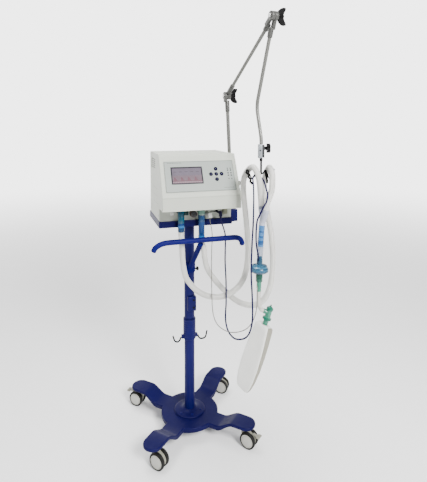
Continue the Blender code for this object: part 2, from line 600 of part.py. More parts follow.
def make_ports():
    face = LOWER_FRONT_Y - GAP
    ports = (("inspiratory_port", LEFT_PORT, TEAL), ("expiratory_port", RIGHT_PORT, CLEAR_GREEN))
    for name, (x, y), look in ports:
        profile = [(0.0, 1.088), (SPIGOT_RADIUS - 0.001, 1.088), (SPIGOT_RADIUS, 1.089),
                   (SPIGOT_RADIUS, 1.1065),
                   (0.0150, 1.1070), (0.0150, 1.1255), (0.0120, 1.1320), (0.0, 1.1340)]
        port = solid(name, turned(profile, 16), look, (x, y, 0))
        stub = [(0.0, 0.0), (0.0125, 0.0), (0.0125, -y + face), (0.0, -y + face)]
        fuse(port, turned(stub, 12), (x, y, 1.1195), facing((0, 1, 0)), "MANIFOLD")
    for name, (x, y), low in (("cuff_left", LEFT_PORT, 1.036), ("cuff_right", RIGHT_PORT, 0.995)):
        bore = SPIGOT_RADIUS + GAP
        shoulder = CUFF_RADIUS - 0.0012
        profile = [(bore, low), (shoulder, low), (CUFF_RADIUS, low + 0.002), (CUFF_RADIUS, low + 0.022),
                   (shoulder, low + 0.024), (shoulder, 1.075), (CUFF_RADIUS, 1.078), (CUFF_RADIUS, 1.105),
                   (shoulder, 1.1065), (bore, 1.1065)]
        solid(name, turned(profile, 16), CUFF_BLUE, (x, y, 0))
    valve = [(0.0, 0.0), (0.012, 0.0), (0.012, 0.020), (0.0155, 0.022), (0.0155, 0.034), (0.013, 0.037),
             (0.0, 0.038)]
    solid("exhalation_valve", turned(valve, 14), VALVE_BROWN, (-0.019, face, 1.1085), facing((0, -1, 0)))
    gland = [(0.0, 0.0), (0.0070, 0.0), (0.0070, 0.034), (0.0045, 0.040), (0.0, 0.040)]
    gland_at = (0.050, face, 1.104)
    sample = solid("sample_port", turned(gland, 12), WHITE_PLASTIC, gland_at, facing((0, -1, 0)))
    fuse(sample, block((0.016, 0.022, 0.022), (0, 0, 0), 0.002), (0.050, face - 0.047, 1.104))
    fuse(sample, rod(0.0030, 1.0919, 1.100, 10), (0.050, -0.1815, 0))
    plug_axis = Vector((0.096, -0.191, 0))
    plug = [(0.0, 1.0873), (0.0042, 1.0873), (0.0050, 1.0960), (0.0075, 1.0985), (0.0075, 1.118),
            (0.0055, 1.1215), (0.0, 1.1215)]
    plug = solid("sensor_plug", turned(plug, 12), CABLE_PURPLE, plug_axis)
    stub = rod(0.0055, 0.0, face - plug_axis.y, 10)
    fuse(plug, stub, plug_axis + Vector((0, 0, 1.110)), facing((0, 1, 0)))
    knob = empty("relief_turn", (-0.123, -0.200, OVERHANG_Z), STAND)
    grip = [(0.0, -0.023), (0.0060, -0.023), (0.0075, -0.021), (0.0075, -0.009), (0.0050, -0.0075),
            (0.0050, -GAP), (0.0, -GAP)]
    solid("relief_knob", turned(grip, 14), WHITE_PLASTIC, (-0.123, -0.200, OVERHANG_Z), None, knob)


# Circuit arm

def make_bracket():
    post_way = (ELBOW - POST_FOOT).normalized()
    left = TRAY_HALF + GAP
    right = 0.2225
    size = (right - left, 0.046, 0.058)
    bracket = solid("arm_bracket", block(size, ((left + right) / 2, -0.042, 1.069), 0.003), BLUE)
    cut(bracket, rod(POST_RADIUS + GAP, -0.05, 0.10, 12), POST_FOOT, facing(post_way))


def knuckle(thing, at, away, offset, neck):
    """A round hinge plate beside the joint's centre, with the neck that carries it."""
    centre = at + HINGE_WAY * offset
    half = KNUCKLE_THICK / 2
    disc = turned([(0.0, -half), (KNUCKLE_RADIUS - 0.001, -half), (KNUCKLE_RADIUS, -half + 0.001),
                   (KNUCKLE_RADIUS, half - 0.001), (KNUCKLE_RADIUS - 0.001, half), (0.0, half)], 14)
    turn = facing(HINGE_WAY, away)
    fuse(thing, disc, centre, turn, "MANIFOLD")
    neck_size = (neck + 0.003, 0.018, KNUCKLE_THICK - 0.001)
    fuse(thing, block(neck_size, (0.005 + neck_size[0] / 2, 0, 0)), centre, turn, "MANIFOLD")
    cut(thing, rod(BOLT_RADIUS + GAP, -0.03, 0.03, 12), at, turn, "MANIFOLD")


def sleeve_between(thing, start, end, radius=SLEEVE_RADIUS):
    way = end - start
    fuse(thing, rod(radius, 0.0, way.length, 10, 0.001), start, facing(way), "MANIFOLD")


def make_arm():
    post_way = (ELBOW - POST_FOOT).normalized()
    swing = empty("arm_swing", POST_FOOT, STAND)
    long = (ELBOW - POST_FOOT).length
    post = solid("arm_post", rod(POST_RADIUS, 0.0, long - 0.030, 10, 0.001), ARM_STEEL, POST_FOOT,
                 facing(post_way), swing)
    fuse(post, rod(0.0125, 0.0660, 0.0760, 14, 0.0015), solver="MANIFOLD")
    sleeve_between(post, ELBOW - post_way * SLEEVE_END, ELBOW - post_way * ELBOW_NECK)
    knuckle(post, ELBOW, -post_way, -KNUCKLE_OFFSET, ELBOW_NECK)

    raise_joint = empty("arm_raise", ELBOW, swing)
    link_way = (ARM_TIP - ELBOW).normalized()
    span = (ARM_TIP - ELBOW).length
    link = solid("arm_link", rod(LINK_RADIUS, 0.030, span - 0.050, 10, 0.001), ARM_STEEL, ELBOW,
                 facing(link_way), raise_joint)
    sleeve_between(link, ELBOW + link_way * ELBOW_NECK, ELBOW + link_way * SLEEVE_END)
    sleeve_between(link, ARM_TIP - link_way * TIP_NECK, ARM_TIP - link_way * SLEEVE_END)
    knuckle(link, ELBOW, link_way, KNUCKLE_OFFSET, ELBOW_NECK)
    knuckle(link, ARM_TIP, -link_way, -KNUCKLE_OFFSET, TIP_NECK)

    drop_joint = empty("drop_swing", ARM_TIP, raise_joint)
    stations = [(0.010, 1.892), (0.1165, 1.603), (0.1205, 1.580), (0.1190, 1.555), (0.108, 1.515),
                (0.096, 1.475),
                (0.089, 1.448), (0.087, 1.430), (0.087, BLOCK_TOP + GAP)]
    route = [ARM_TIP - REACH_WAY * s + Vector((0, 0, z - ARM_TIP.z)) for s, z in stations]
    drop_way = (route[1] - ARM_TIP).normalized()
    route[0] = ARM_TIP + drop_way * 0.050
    path = route[:1] + smooth_route(route[1:], 0.018)
    drop = solid("arm_drop", bar(path, 0.0068, 10), ARM_STEEL, (0, 0, 0), None, drop_joint)
    sleeve_between(drop, ARM_TIP + drop_way * TIP_NECK, ARM_TIP + drop_way * (SLEEVE_END + 0.008))
    knuckle(drop, ARM_TIP, drop_way, KNUCKLE_OFFSET, TIP_NECK)
    return swing, raise_joint, drop_joint


def make_wing_knob(name, at, on):
    """A wing screw: its bolt runs through both hinge plates along the hinge's axis."""
    spin = empty(f"{name}_spin", at, on)
    turn = facing(HINGE_WAY, (0, 0, 1))
    face = KNUCKLE_OFFSET + KNUCKLE_THICK / 2 + GAP
    bolt = [(0.0, -face - 0.005), (0.0075, -face - 0.005), (0.0075, -face), (BOLT_RADIUS, -face),
            (BOLT_RADIUS, face), (0.0085, face), (0.0085, face + 0.004), (0.0075, face + 0.022),
            (0.0, face + 0.022)]
    knob = solid(name, turned(bolt, 14), BLACK_PLASTIC, at, turn, spin)
    wings = [(0.010, face + 0.003), (0.027, face + 0.014), (0.0345, face + 0.027), (0.0345, face + 0.036),
             (0.029, face + 0.038), (0.017, face + 0.026), (0.009, face + 0.021)]
    outline = wings + [(-x, z) for x, z in reversed(wings)]
    plate = prism(outline, -0.0050, 0.0050)
    fuse(knob, plate, at, facing(HINGE_WAY.cross(Vector((0, 0, 1))) * -1, (0, 0, 1)))


def make_clamp(on):
    size = (0.026, 0.022, BLOCK_TOP - BLOCK_BOTTOM)
    centre = HANGER_AT + Vector((0, 0, (BLOCK_TOP + BLOCK_BOTTOM) / 2))
    turn = facing((0, 0, 1), HANGER_ACROSS)
    clamp = solid("clamp_block", block(size, bevel=0.0015), CLAMP_GREY, centre, turn, on)
    cut(clamp, rod(HANGER_ROD + GAP, -0.05, HANGER_ROD_TOP - centre.z + GAP, 14))
    knob_at = centre + HANGER_ACROSS * 0.0133 + Vector((0, 0, 0.012))
    spin = empty("clamp_knob_spin", knob_at, on)
    profile = [(0.0, 0.0), (0.0075, 0.0), (0.0085, 0.010), (0.0, 0.010)]
    knob = solid("clamp_knob", turned(profile, 12), BLACK_PLASTIC, knob_at, facing(HANGER_ACROSS), spin)
    star = []
    for i in range(20):
        angle = math.tau * i / 20
        radius = 0.0168 + 0.0032 * math.cos(5 * angle)
        star.append((radius * math.cos(angle), radius * math.sin(angle)))
    fuse(knob, prism(star, 0.009, 0.024))


def hanger_point(across, z, away=0.0):
    return HANGER_AT + HANGER_ACROSS * across + HANGER_AWAY * away + Vector((0, 0, z))


def make_hanger(on):
    swivel = empty("hanger_swivel", HANGER_AT + Vector((0, 0, HANGER_ROD_TOP)), on)
    hanger = solid("hose_hanger", rod(HANGER_ROD, 1.298, HANGER_ROD_TOP, 12), BLACK_PLASTIC,
                   HANGER_AT, None, swivel)
    collar_top = BLOCK_BOTTOM - GAP
    collar = [(0.0, 1.352), (0.0065, 1.352), (0.0065, collar_top), (0.0, collar_top)]
    fuse(hanger, turned(collar, 12), HANGER_AT)
    strip = [(-0.058, 1.318), (-0.053, 1.311), (-0.0435, 1.290), (-0.0355, 1.277), (-0.028, 1.291),
             (-0.020, 1.312), (-0.0165, 1.316), (-0.009, 1.303), (0.0, 1.298), (0.009, 1.303),
             (0.0165, 1.316), (0.020, 1.312), (0.028, 1.291), (0.035, 1.278), (0.042, 1.291),
             (0.050, 1.312), (0.055, 1.319)]
    flat = [(-0.005, -0.0022), (0.005, -0.0022), (0.005, 0.0022), (-0.005, 0.0022)]
    fuse(hanger, swept([hanger_point(x, z) for x, z in strip], flat, side=HANGER_AWAY), (0, 0, 0))
    clip = [(-0.0570, 1.3170, -0.002), (-0.0610, 1.3060, -0.006), (-0.0510, 1.2970, -0.013),
            (-0.0530, 1.2880, -0.019), (-0.0445, 1.2800, -0.024), (-0.0465, 1.2710, -0.028),
            (-0.0375, 1.2620, -0.033)]
    fuse(hanger, bar([hanger_point(x, z, away) for x, z, away in clip], 0.0030, 8), (0, 0, 0))
    prong = [(0.0185, 1.313, 0.0), (0.0205, 1.296, -0.002), (0.0235, 1.280, -0.004),
             (0.0250, 1.262, -0.006)]
    fuse(hanger, bar([hanger_point(x, z, away) for x, z, away in prong], 0.0032, 8), (0, 0, 0))
    return swivel


# Breathing circuit

def make_circuit(on):
    foot = Y_FOOT + Vector((0, 0, 0.0010))
    knots = [Y_LEFT, Y_LEFT + Y_LEFT_WAY * 0.014, Y_JOIN, (0.193, -0.4215, 1.100), foot]
    trunk = smooth_route(knots, 0.016)
    trunk[1:1] = [Y_LEFT + Y_LEFT_WAY * 0.005]
    wye = solid("y_piece", bar(trunk, 0.0122, 10), WYE_BLUE, (0, 0, 0), None, on)
    branch = smooth_route([Y_RIGHT, Y_RIGHT + Y_RIGHT_WAY * 0.014, (0.1955, -0.4225, 1.118)], 0.012)
    branch[1:1] = [Y_RIGHT + Y_RIGHT_WAY * 0.005]
    fuse(wye, bar(branch, 0.0122, 10), (0, 0, 0))
    down = (SENSOR_FOOT - Y_FOOT).normalized()
    long = (SENSOR_FOOT - Y_FOOT).length
    profile = [(0.0, 0.0), (0.0110, 0.0), (0.0110, 0.034), (0.0300, 0.039), (0.0365, 0.044),
               (0.0365, 0.064),
               (0.0300, 0.069), (0.0130, 0.071), (0.0130, 0.101), (0.0095, 0.104), (0.0095, long),
               (0.0, long)]
    sensor = solid("flow_sensor", turned(profile, 20), SENSOR_BLUE, Y_FOOT, facing(down, (0, 1, 0)), on)
    elbow_way = Vector((0.026, -0.004, 0.079)).normalized()
    profile = [(0.0, 0.0015), (0.0105, 0.0015), (0.0105, 0.020), (0.0175, 0.022), (0.0175, 0.030),
               (0.0125, 0.033),
               (0.0115, 0.060), (0.0135, 0.061), (0.0135, 0.070), (0.0090, 0.072), (0.0085, 0.082),
               (0.0, 0.083)]
    elbow = solid("swivel_elbow", turned(profile, 16), CLEAR_GREEN, LUNG_TOP, facing(elbow_way), on)
    side_port = LUNG_TOP + elbow_way * 0.048
    mount_end = Vector((0.196, -0.437, 0.766))
    port_way = mount_end - side_port
    fuse(elbow, rod(0.0095, 0.0, port_way.length - GAP, 14), side_port, facing(port_way))
    leave = port_way.normalized()
    mount = [SENSOR_FOOT + down * 0.0006, SENSOR_FOOT + down * 0.020, (0.1765, -0.4305, 0.812),
             (0.1780, -0.4325, 0.789), mount_end + leave * 0.010, mount_end + leave * 0.0009]
    tube_route = smooth_route(mount, 0.008)
    solid("catheter_mount", bar(tube_route, 0.0088, 10), HOSE_WHITE, (0, 0, 0), None, on)


def make_lung(on):
    """A breathing bag: a wedge that is thick at its neck and thin at its foot."""
    upward = (LUNG_TOP - LUNG_FOOT).normalized()
    broad = HANGER_ACROSS * -0.643 + HANGER_AWAY * 0.766
    turn = facing(upward, broad)
    long = (LUNG_TOP - LUNG_FOOT).length
    sections = [(0.0, 0.0240, 0.0040), (0.006, 0.0310, 0.0058), (0.025, 0.0390, 0.0078),
                (0.055, 0.0445, 0.0105), (0.10, 0.0470, 0.0138), (0.15, 0.0455, 0.0172),
                (0.20, 0.0420, 0.0195),
                (long - 0.016, 0.0355, 0.0220), (long - 0.004, 0.0330, 0.0205), (long, 0.0290, 0.0170)]
    bm = bmesh.new()
    rings = []
    for z, half_x, half_y in sections:
        ring = []
        for i in range(16):
            angle = math.tau * i / 16
            c, s = math.cos(angle), math.sin(angle)
            x = half_x * math.copysign(abs(c) ** 0.35, c)
            y = half_y * math.copysign(abs(s) ** 0.35, s)
            ring.append(bm.verts.new((x, y, z)))
        rings.append(ring)
    for low, high in zip(rings, rings[1:]):
        join_rings(bm, low, high)
    bm.faces.new(rings[0])
    bm.faces.new(rings[-1])
    swivel = empty("lung_swivel", LUNG_TOP, on)
    solid("test_lung", bm, LUNG_WHITE, LUNG_FOOT, turn, swivel)


# Cords, each from its port on the ventilator to its far end

LEFT_HOSE = [(-0.0775, -0.172, 1.0357), (-0.0775, -0.172, 1.010), (-0.075, -0.176, 0.970),
             (-0.073, -0.181, 0.910),
             (-0.063, -0.193, 0.845), (-0.035, -0.209, 0.803), (-0.005, -0.230, 0.780),
             (0.033, -0.252, 0.769),
             (0.073, -0.274, 0.773), (0.111, -0.292, 0.792), (0.148, -0.304, 0.830), (0.170, -0.309, 0.885),
             (0.180, -0.308, 0.968), (0.178, -0.302, 1.054), (0.171, -0.296, 1.141), (0.166, -0.291, 1.205),
             (0.165, -0.2905, 1.262), (0.1725, -0.307, 1.303), (0.1845, -0.342, 1.3270),
             (0.1910, -0.377, 1.306),
             (0.1935, -0.394, 1.272), (0.195, -0.400, 1.236), (0.1970, -0.4037, 1.2020),
             (0.1970, -0.4062, 1.1777)]
RIGHT_HOSE = [(0.014, -0.172, 0.9947), (0.014, -0.172, 0.984), (0.0240, -0.174, 0.955),
              (0.0270, -0.178, 0.915), (0.037, -0.190, 0.866),
              (0.071, -0.209, 0.814), (0.109, -0.229, 0.772), (0.139, -0.246, 0.744),
              (0.171, -0.268, 0.728),
              (0.204, -0.295, 0.728), (0.232, -0.320, 0.746), (0.255, -0.336, 0.784),
              (0.271, -0.341, 0.840),
              (0.279, -0.340, 0.920), (0.278, -0.336, 0.990), (0.272, -0.331, 1.054),
              (0.262, -0.324, 1.124),
              (0.252, -0.316, 1.204), (0.2505, -0.3125, 1.262), (0.2525, -0.328, 1.300),
              (0.2505, -0.362, 1.3250),
              (0.2455, -0.399, 1.306), (0.239, -0.417, 1.274), (0.230, -0.430, 1.241),
              (0.2100, -0.4397, 1.2000),
              (0.2051, -0.4400, 1.1825), (0.2021, -0.4402, 1.1670)]
CABLE = [(0.096, -0.191, 1.0868), (0.0965, -0.191, 1.078), (0.107, -0.194, 1.050), (0.115, -0.196, 1.020),
         (0.116, -0.198, 0.987), (0.113, -0.205, 0.945), (0.107, -0.222, 0.900), (0.095, -0.270, 0.832),
         (0.080, -0.316, 0.764), (0.066, -0.350, 0.713), (0.064, -0.385, 0.681), (0.074, -0.427, 0.668),
         (0.091, -0.460, 0.676), (0.109, -0.480, 0.694), (0.121, -0.489, 0.727), (0.127, -0.490, 0.772),
         (0.127, -0.486, 0.848), (0.125, -0.482, 0.912), (0.126, -0.477, 0.957), (0.131, -0.468, 1.004),
         (0.138, -0.457, 1.058), (0.150, -0.437, 1.123), (0.163, -0.409, 1.203), (0.170, -0.389, 1.255),
         (0.173, -0.374, 1.284), (0.180, -0.3650, 1.2905), (0.196, -0.3635, 1.2915), (0.209, -0.367, 1.287),
         (0.2155, -0.378, 1.279), (0.2150, -0.398, 1.265), (0.2105, -0.424, 1.246),
         (0.2060, -0.4460, 1.226),
         (0.1960, -0.4590, 1.204), (0.1830, -0.4640, 1.187), (0.1640, -0.4620, 1.150),
         (0.1560, -0.4600, 1.128),
         (0.1520, -0.4610, 1.080), (0.1540, -0.4610, 1.036), (0.1620, -0.4560, 1.004),
         (0.1700, -0.4420, 0.978),
         (0.1727, -0.4332, 0.9665)]
SAMPLE = [(0.050, -0.1815, 1.0915), (0.050, -0.182, 1.078), (0.054, -0.186, 1.055), (0.058, -0.189, 1.013),
          (0.053, -0.197, 0.943), (0.045, -0.222, 0.868), (0.034, -0.262, 0.797), (0.026, -0.298, 0.740),
          (0.026, -0.330, 0.706), (0.036, -0.364, 0.689), (0.058, -0.400, 0.683), (0.085, -0.429, 0.690),
          (0.116, -0.449, 0.707), (0.140, -0.455, 0.734), (0.154, -0.457, 0.770), (0.160, -0.455, 0.805),
          (0.163, -0.449, 0.835), (0.1655, -0.4425, 0.856), (0.1690, -0.4345, 0.868)]


def make_cords():
    cord("hose_left", LEFT_HOSE, HOSE_DIAMETER, 0.028, 2, HOSE_WHITE)
    cord("hose_right", RIGHT_HOSE, HOSE_DIAMETER, 0.028, 2, HOSE_WHITE)
    cord("sensor_cable", CABLE, CABLE_DIAMETER, 0.030, 2, CABLE_PURPLE)
    cord("sample_line", SAMPLE, SAMPLE_DIAMETER, 0.024, 2, SAMPLE_GREY)


clear_scene()

BLUE = material("blue_paint", (0.018, 0.022, 0.155), 0.35)
HANDLE_BLUE = material("blue_handle", (0.026, 0.030, 0.27), 0.40)
CASING = material("casing_grey", (0.62, 0.65, 0.60), 0.50)
PANEL_GREY = material("panel_grey", (0.58, 0.62, 0.60), 0.45)
DISPLAY = material("display", (0.32, 0.28, 0.38), 0.20)
KEY_BLUE = material("key_navy", (0.020, 0.018, 0.100), 0.40)
BLACK_PLASTIC = material("black_plastic", (0.012, 0.012, 0.012), 0.45)
DARK_PLASTIC = material("dark_plastic", (0.045, 0.048, 0.050), 0.55)
BLACK_METAL = material("black_metal", (0.015, 0.015, 0.018), 0.35, 0.6)
WHITE_PLASTIC = material("white_plastic", (0.80, 0.80, 0.78), 0.35)
CASTOR_GREY = material("castor_grey", (0.52, 0.51, 0.44), 0.45)
TYRE = material("tyre_black", (0.015, 0.015, 0.015), 0.70)
ARM_STEEL = material("arm_steel", (0.36, 0.36, 0.34), 0.35, 0.9)
STEEL = material("steel", (0.45, 0.46, 0.47), 0.35, 0.9)
CLAMP_GREY = material("clamp_grey", (0.50, 0.52, 0.54), 0.40, 0.3)
BOARD_GREEN = material("board_green", (0.02, 0.16, 0.06), 0.50)
TEAL = material("teal", (0.0, 0.30, 0.34), 0.25)
CLEAR_GREEN = material("clear_green", (0.20, 0.52, 0.40), 0.15)
CUFF_BLUE = material("cuff_blue", (0.01, 0.18, 0.55), 0.25)
WYE_BLUE = material("wye_blue", (0.18, 0.45, 0.80), 0.20)
SENSOR_BLUE = material("sensor_blue", (0.12, 0.32, 0.50), 0.15)
VALVE_BROWN = material("valve_brown", (0.10, 0.07, 0.05), 0.40)
HOSE_WHITE = material("hose_white", (0.72, 0.72, 0.70), 0.30)
LUNG_WHITE = material("lung_white", (0.74, 0.74, 0.71), 0.55)
CABLE_PURPLE = material("cable_purple", (0.035, 0.025, 0.20), 0.40)
SAMPLE_GREY = material("sample_grey", (0.45, 0.44, 0.38), 0.35)

JOINTS = {}
STAND = empty("stand", (0, 0, 0))
STAND.location = STAND_AT

make_base()
make_column()
make_column_fittings()
make_handle()
for castor_code in CASTORS:
    make_castor(castor_code)
make_tray()
make_rear_casing()
make_front_cover()
make_front_panel()
make_inside()
make_ports()
make_bracket()
SWING, RAISE, DROP = make_arm()
make_wing_knob("arm_knob_lower", ELBOW, SWING)
make_wing_knob("arm_knob_upper", ARM_TIP, RAISE)
make_clamp(DROP)
HANGER = make_hanger(DROP)
make_circuit(HANGER)
make_lung(HANGER)
make_cords()
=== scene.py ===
"""The looks of the mechanical ventilator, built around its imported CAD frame.

Routes and places are in the CAD's design frame, whose origin is the column's axis: every piece
hangs from SHIFT, which moves that frame to the part's own origin. Metres, +Z up, front at -Y.
"""
import math

import bmesh
import bpy
from mathutils import Matrix, Vector


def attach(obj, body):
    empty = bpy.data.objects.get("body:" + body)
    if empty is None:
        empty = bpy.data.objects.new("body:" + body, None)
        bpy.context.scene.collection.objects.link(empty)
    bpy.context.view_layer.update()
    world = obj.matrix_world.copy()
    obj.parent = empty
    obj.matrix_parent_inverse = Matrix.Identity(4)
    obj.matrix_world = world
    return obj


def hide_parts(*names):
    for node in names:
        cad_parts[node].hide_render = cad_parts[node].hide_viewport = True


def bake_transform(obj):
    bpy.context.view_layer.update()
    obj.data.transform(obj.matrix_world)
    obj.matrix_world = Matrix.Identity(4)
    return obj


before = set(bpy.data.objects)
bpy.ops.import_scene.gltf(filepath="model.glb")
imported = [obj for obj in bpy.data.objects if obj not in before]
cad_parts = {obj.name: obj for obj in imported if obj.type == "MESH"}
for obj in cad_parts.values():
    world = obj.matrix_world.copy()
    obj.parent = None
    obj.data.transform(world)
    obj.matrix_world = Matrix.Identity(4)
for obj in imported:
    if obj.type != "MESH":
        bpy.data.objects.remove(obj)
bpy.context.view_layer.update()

FLOOR = 0.0435
SHIFT = Vector((-0.0026, 0.0943, -FLOOR))
GAP = 0.0003

CAMERA_AT, CAMERA_PITCH, CAMERA_AZIMUTH = Vector((-0.4762, -1.9635, 1.5025)), 0.05, math.radians(16.93)
LENS, LENS_SHIFT = 31.90, -0.198
FRONT_GLOW, BACK_GLOW, TOP_GLOW = 0.40, 4.2, 0.55

HUB_RADIUS, HUB_TOP, HUB_BOTTOM = 0.137, 0.1155, 0.093
ARM_HALF_WIDTH, ARM_REACH = 0.0445, 0.297
ARM_TOP, ARM_BOTTOM = 0.150, 0.136
RAMP_START, RAMP_END = 0.172, 0.245
COLUMN_RADIUS = 0.0243
WHEEL_RADIUS, WHEEL_WIDTH, TWIN_WIDTH = 0.037, 0.017, 0.050
CASTOR_TRAIL, CASTOR_PIVOT = 0.026, 0.290
CASTORS = {"fl": (-1, -1, 312), "fr": (1, -1, 310), "bl": (-1, 1, 140), "br": (1, 1, 325)}
PEDAL_HINGE = (0.0485, 0.065)
COLLAR_BOTTOM, COLLAR_TOP, HOOK_BLOCK_Z = 0.472, 0.571, 0.483
HANDLE_Y, HANDLE_Z, HANDLE_RADIUS = -0.217, 1.006, 0.0115

TRAY_BOTTOM, LOWER_FRONT_Y, OVERHANG_Z = 1.0485, -0.130, 1.141
SLOPE_TOP, SLOPE_FOOT = Vector((0, -0.157, 1.372)), Vector((0, -0.247, 1.2005))
COVER_HALF, CASE_HALF = 0.172, 0.1655
PANEL_HALF, PANEL_TOP, PANEL_FOOT = 0.154, 0.034, 0.173
SCREEN_LEFT, SCREEN_RIGHT, SCREEN_TOP, SCREEN_FOOT = -0.127, 0.011, 0.060, 0.138
PANEL_FACE, GLASS_FACE, PRINT = 0.0023, 0.0017, 0.00012
BEZEL_WIDE = 0.0052
KEY_RADIUS, KEY_PITCH, KEYS_AT = 0.0085, 0.024, (0.072, 0.097)
KEYS = {"up": (0, -1), "down": (0, 1), "left": (-1, 0), "right": (1, 0), "ok": (0, 0)}

HOSE_RADIUS, CABLE_RADIUS, SAMPLE_RADIUS = 0.0125, 0.00325, 0.00175
LEFT_PORT, RIGHT_PORT = (-0.0775, -0.172), (0.014, -0.172)
CUFF_RADIUS, SPIGOT_RADIUS, SAMPLE_PORT_X = 0.0145, 0.0110, 0.050

POST_FOOT, ELBOW = Vector((0.204, -0.040, 1.035)), Vector((0.1755, -0.040, 1.637))
ARM_TIP = Vector((0.2298, -0.4385, 1.919))
REACH_WAY = Vector((0.135, -0.9908, 0.0)).normalized()
HINGE_WAY = Vector((0.9908, 0.135, 0.0)).normalized()
POST_RADIUS, LINK_RADIUS, SLEEVE_RADIUS = 0.008, 0.00675, 0.0108
KNUCKLE_RADIUS, KNUCKLE_THICK, KNUCKLE_OFFSET = 0.018, 0.0145, 0.0078
ELBOW_NECK, TIP_NECK, SLEEVE_END = 0.0225, 0.0440, 0.075

HANGER_AT = Vector((0.218, -0.352, 0.0))
HANGER_ACROSS = Vector((0.9567, -0.2911, 0.0)).normalized()
HANGER_AWAY = Vector((0.2911, 0.9567, 0.0)).normalized()
BLOCK_BOTTOM, BLOCK_TOP = 1.364, 1.421

Y_LEFT, Y_RIGHT = Vector((0.1970, -0.4062, 1.1772)), Vector((0.2020, -0.4402, 1.1665))
Y_LEFT_WAY, Y_RIGHT_WAY = Vector((0.0, -0.10, -0.995)), Vector((-0.19, -0.013, -0.982))
Y_JOIN, Y_FOOT = Vector((0.196, -0.421, 1.128)), Vector((0.184, -0.423, 0.983))
SENSOR_FOOT = Vector((0.179, -0.428, 0.856))
LUNG_TOP, LUNG_FOOT = Vector((0.199, -0.442, 0.711)), Vector((0.109, -0.428, 0.456))
ELBOW_WAY = Vector((0.026, -0.004, 0.079)).normalized()
SIDE_PORT, MOUNT_END = LUNG_TOP + ELBOW_WAY * 0.048, Vector((0.196, -0.437, 0.766))


# Finishes

def look(name, colour, rough, metal=0.0, vary=0.06, vary_scale=9.0, grain=(900.0, 0.10), coat=0.0, clear=0.0,
         soft=0.0, marks=0.0, shine=0.4):
    """A finish with slow colour variation, a fine grain, an uneven gloss and, with marks, light scuffs.

    grain is the fine noise's (scale, bump strength); shine is the specular level.
    """
    made = bpy.data.materials.new(name)
    made.use_nodes = True
    tree = made.node_tree
    shader = tree.nodes["Principled BSDF"]
    places = tree.nodes.new("ShaderNodeTexCoord")

    def noise(scale, detail=3.0):
        node = tree.nodes.new("ShaderNodeTexNoise")
        node.inputs["Scale"].default_value = scale
        node.inputs["Detail"].default_value = detail
        tree.links.new(places.outputs["Object"], node.inputs["Vector"])
        return node.outputs["Fac"]

    def spread(source, low, high):
        node = tree.nodes.new("ShaderNodeMapRange")
        node.inputs["From Min"].default_value = 0.3
        node.inputs["From Max"].default_value = 0.7
        node.inputs["To Min"].default_value = low
        node.inputs["To Max"].default_value = high
        tree.links.new(source, node.inputs["Value"])
        return node.outputs["Result"]

    tint = tree.nodes.new("ShaderNodeMix")
    tint.data_type = "RGBA"
    tint.inputs[6].default_value = (*[c * (1 - vary) for c in colour], 1)
    tint.inputs[7].default_value = (*[min(1.0, c * (1 + vary) + vary * 0.004) for c in colour], 1)
    tree.links.new(spread(noise(vary_scale), 0, 1), tint.inputs[0])
    result = tint.outputs[2]
    if marks:
        worn = tree.nodes.new("ShaderNodeMix")
        worn.data_type = "RGBA"
        worn.inputs[7].default_value = (*[c * 0.55 + 0.16 for c in colour], 1)
        share = tree.nodes.new("ShaderNodeMapRange")
        share.inputs["From Min"].default_value = 0.66
        share.inputs["From Max"].default_value = 0.78
        share.inputs["To Max"].default_value = marks
        tree.links.new(noise(55.0, 8.0), share.inputs["Value"])
        tree.links.new(share.outputs["Result"], worn.inputs[0])
        tree.links.new(result, worn.inputs[6])
        result = worn.outputs[2]
    tree.links.new(result, shader.inputs["Base Color"])
    tree.links.new(spread(noise(vary_scale * 5, 5.0), rough * 0.86, rough * 1.14), shader.inputs["Roughness"])
    bump = tree.nodes.new("ShaderNodeBump")
    bump.inputs["Strength"].default_value = grain[1]
    bump.inputs["Distance"].default_value = 0.0006
    tree.links.new(noise(grain[0], 2.0), bump.inputs["Height"])
    tree.links.new(bump.outputs["Normal"], shader.inputs["Normal"])
    shader.inputs["Metallic"].default_value = metal
    shader.inputs["Specular IOR Level"].default_value = shine
    shader.inputs["Coat Weight"].default_value = coat
    shader.inputs["Coat Roughness"].default_value = 0.15
    shader.inputs["Transmission Weight"].default_value = clear
    shader.inputs["IOR"].default_value = 1.46
    shader.inputs["Subsurface Weight"].default_value = soft
    shader.inputs["Subsurface Radius"].default_value = (0.004, 0.004, 0.004)
    shader.inputs["Subsurface Scale"].default_value = 1.0
    made.diffuse_color = (*colour, 1)
    return made


PAINT = look("blue_paint", (0.0042, 0.0038, 0.064), 0.36, grain=(650, 0.12), coat=0.01, marks=0.02,
             shine=0.10)
CAST = look("blue_cast_paint", (0.0028, 0.0022, 0.041), 0.42, vary=0.08, grain=(420, 0.30), marks=0.03,
            shine=0.09)
HANDLE_PAINT = look("blue_handle_paint", (0.0048, 0.0048, 0.082), 0.48, grain=(700, 0.12), marks=0.02,
                    shine=0.06)
BRACE_PAINT = look("blue_brace_paint", (0.0045, 0.0042, 0.075), 0.55, grain=(700, 0.10), shine=0.02)
CASING = look("casing_grey", (0.420, 0.440, 0.385), 0.50, vary=0.02, grain=(1500, 0.22), shine=0.3)
# A darker copy of the casing grey: painted shade in the side vent slots and in the nose crease.
CASING_SHADE = look("casing_painted_shade", (0.230, 0.235, 0.210), 0.52, vary=0.03, grain=(1500, 0.25), shine=0.3)
PANEL = look("panel_grey", (0.250, 0.275, 0.255), 0.42, vary=0.015, grain=(2200, 0.08), shine=0.25)
# Dark grey-green: painted shade in the groove round the panel's edge, and the print of the dashes that stand
# for lettering.
PRINT_AND_GROOVE_SHADE = look("panel_print_and_groove_shade", (0.045, 0.058, 0.052), 0.50, vary=0.05, shine=0.2)
BEZEL = look("screen_bezel", (0.008, 0.006, 0.011), 0.40, vary=0.05, shine=0.15)
SCREEN = look("screen_grey", (0.086, 0.071, 0.094), 0.24, vary=0.05, vary_scale=30, shine=0.25)
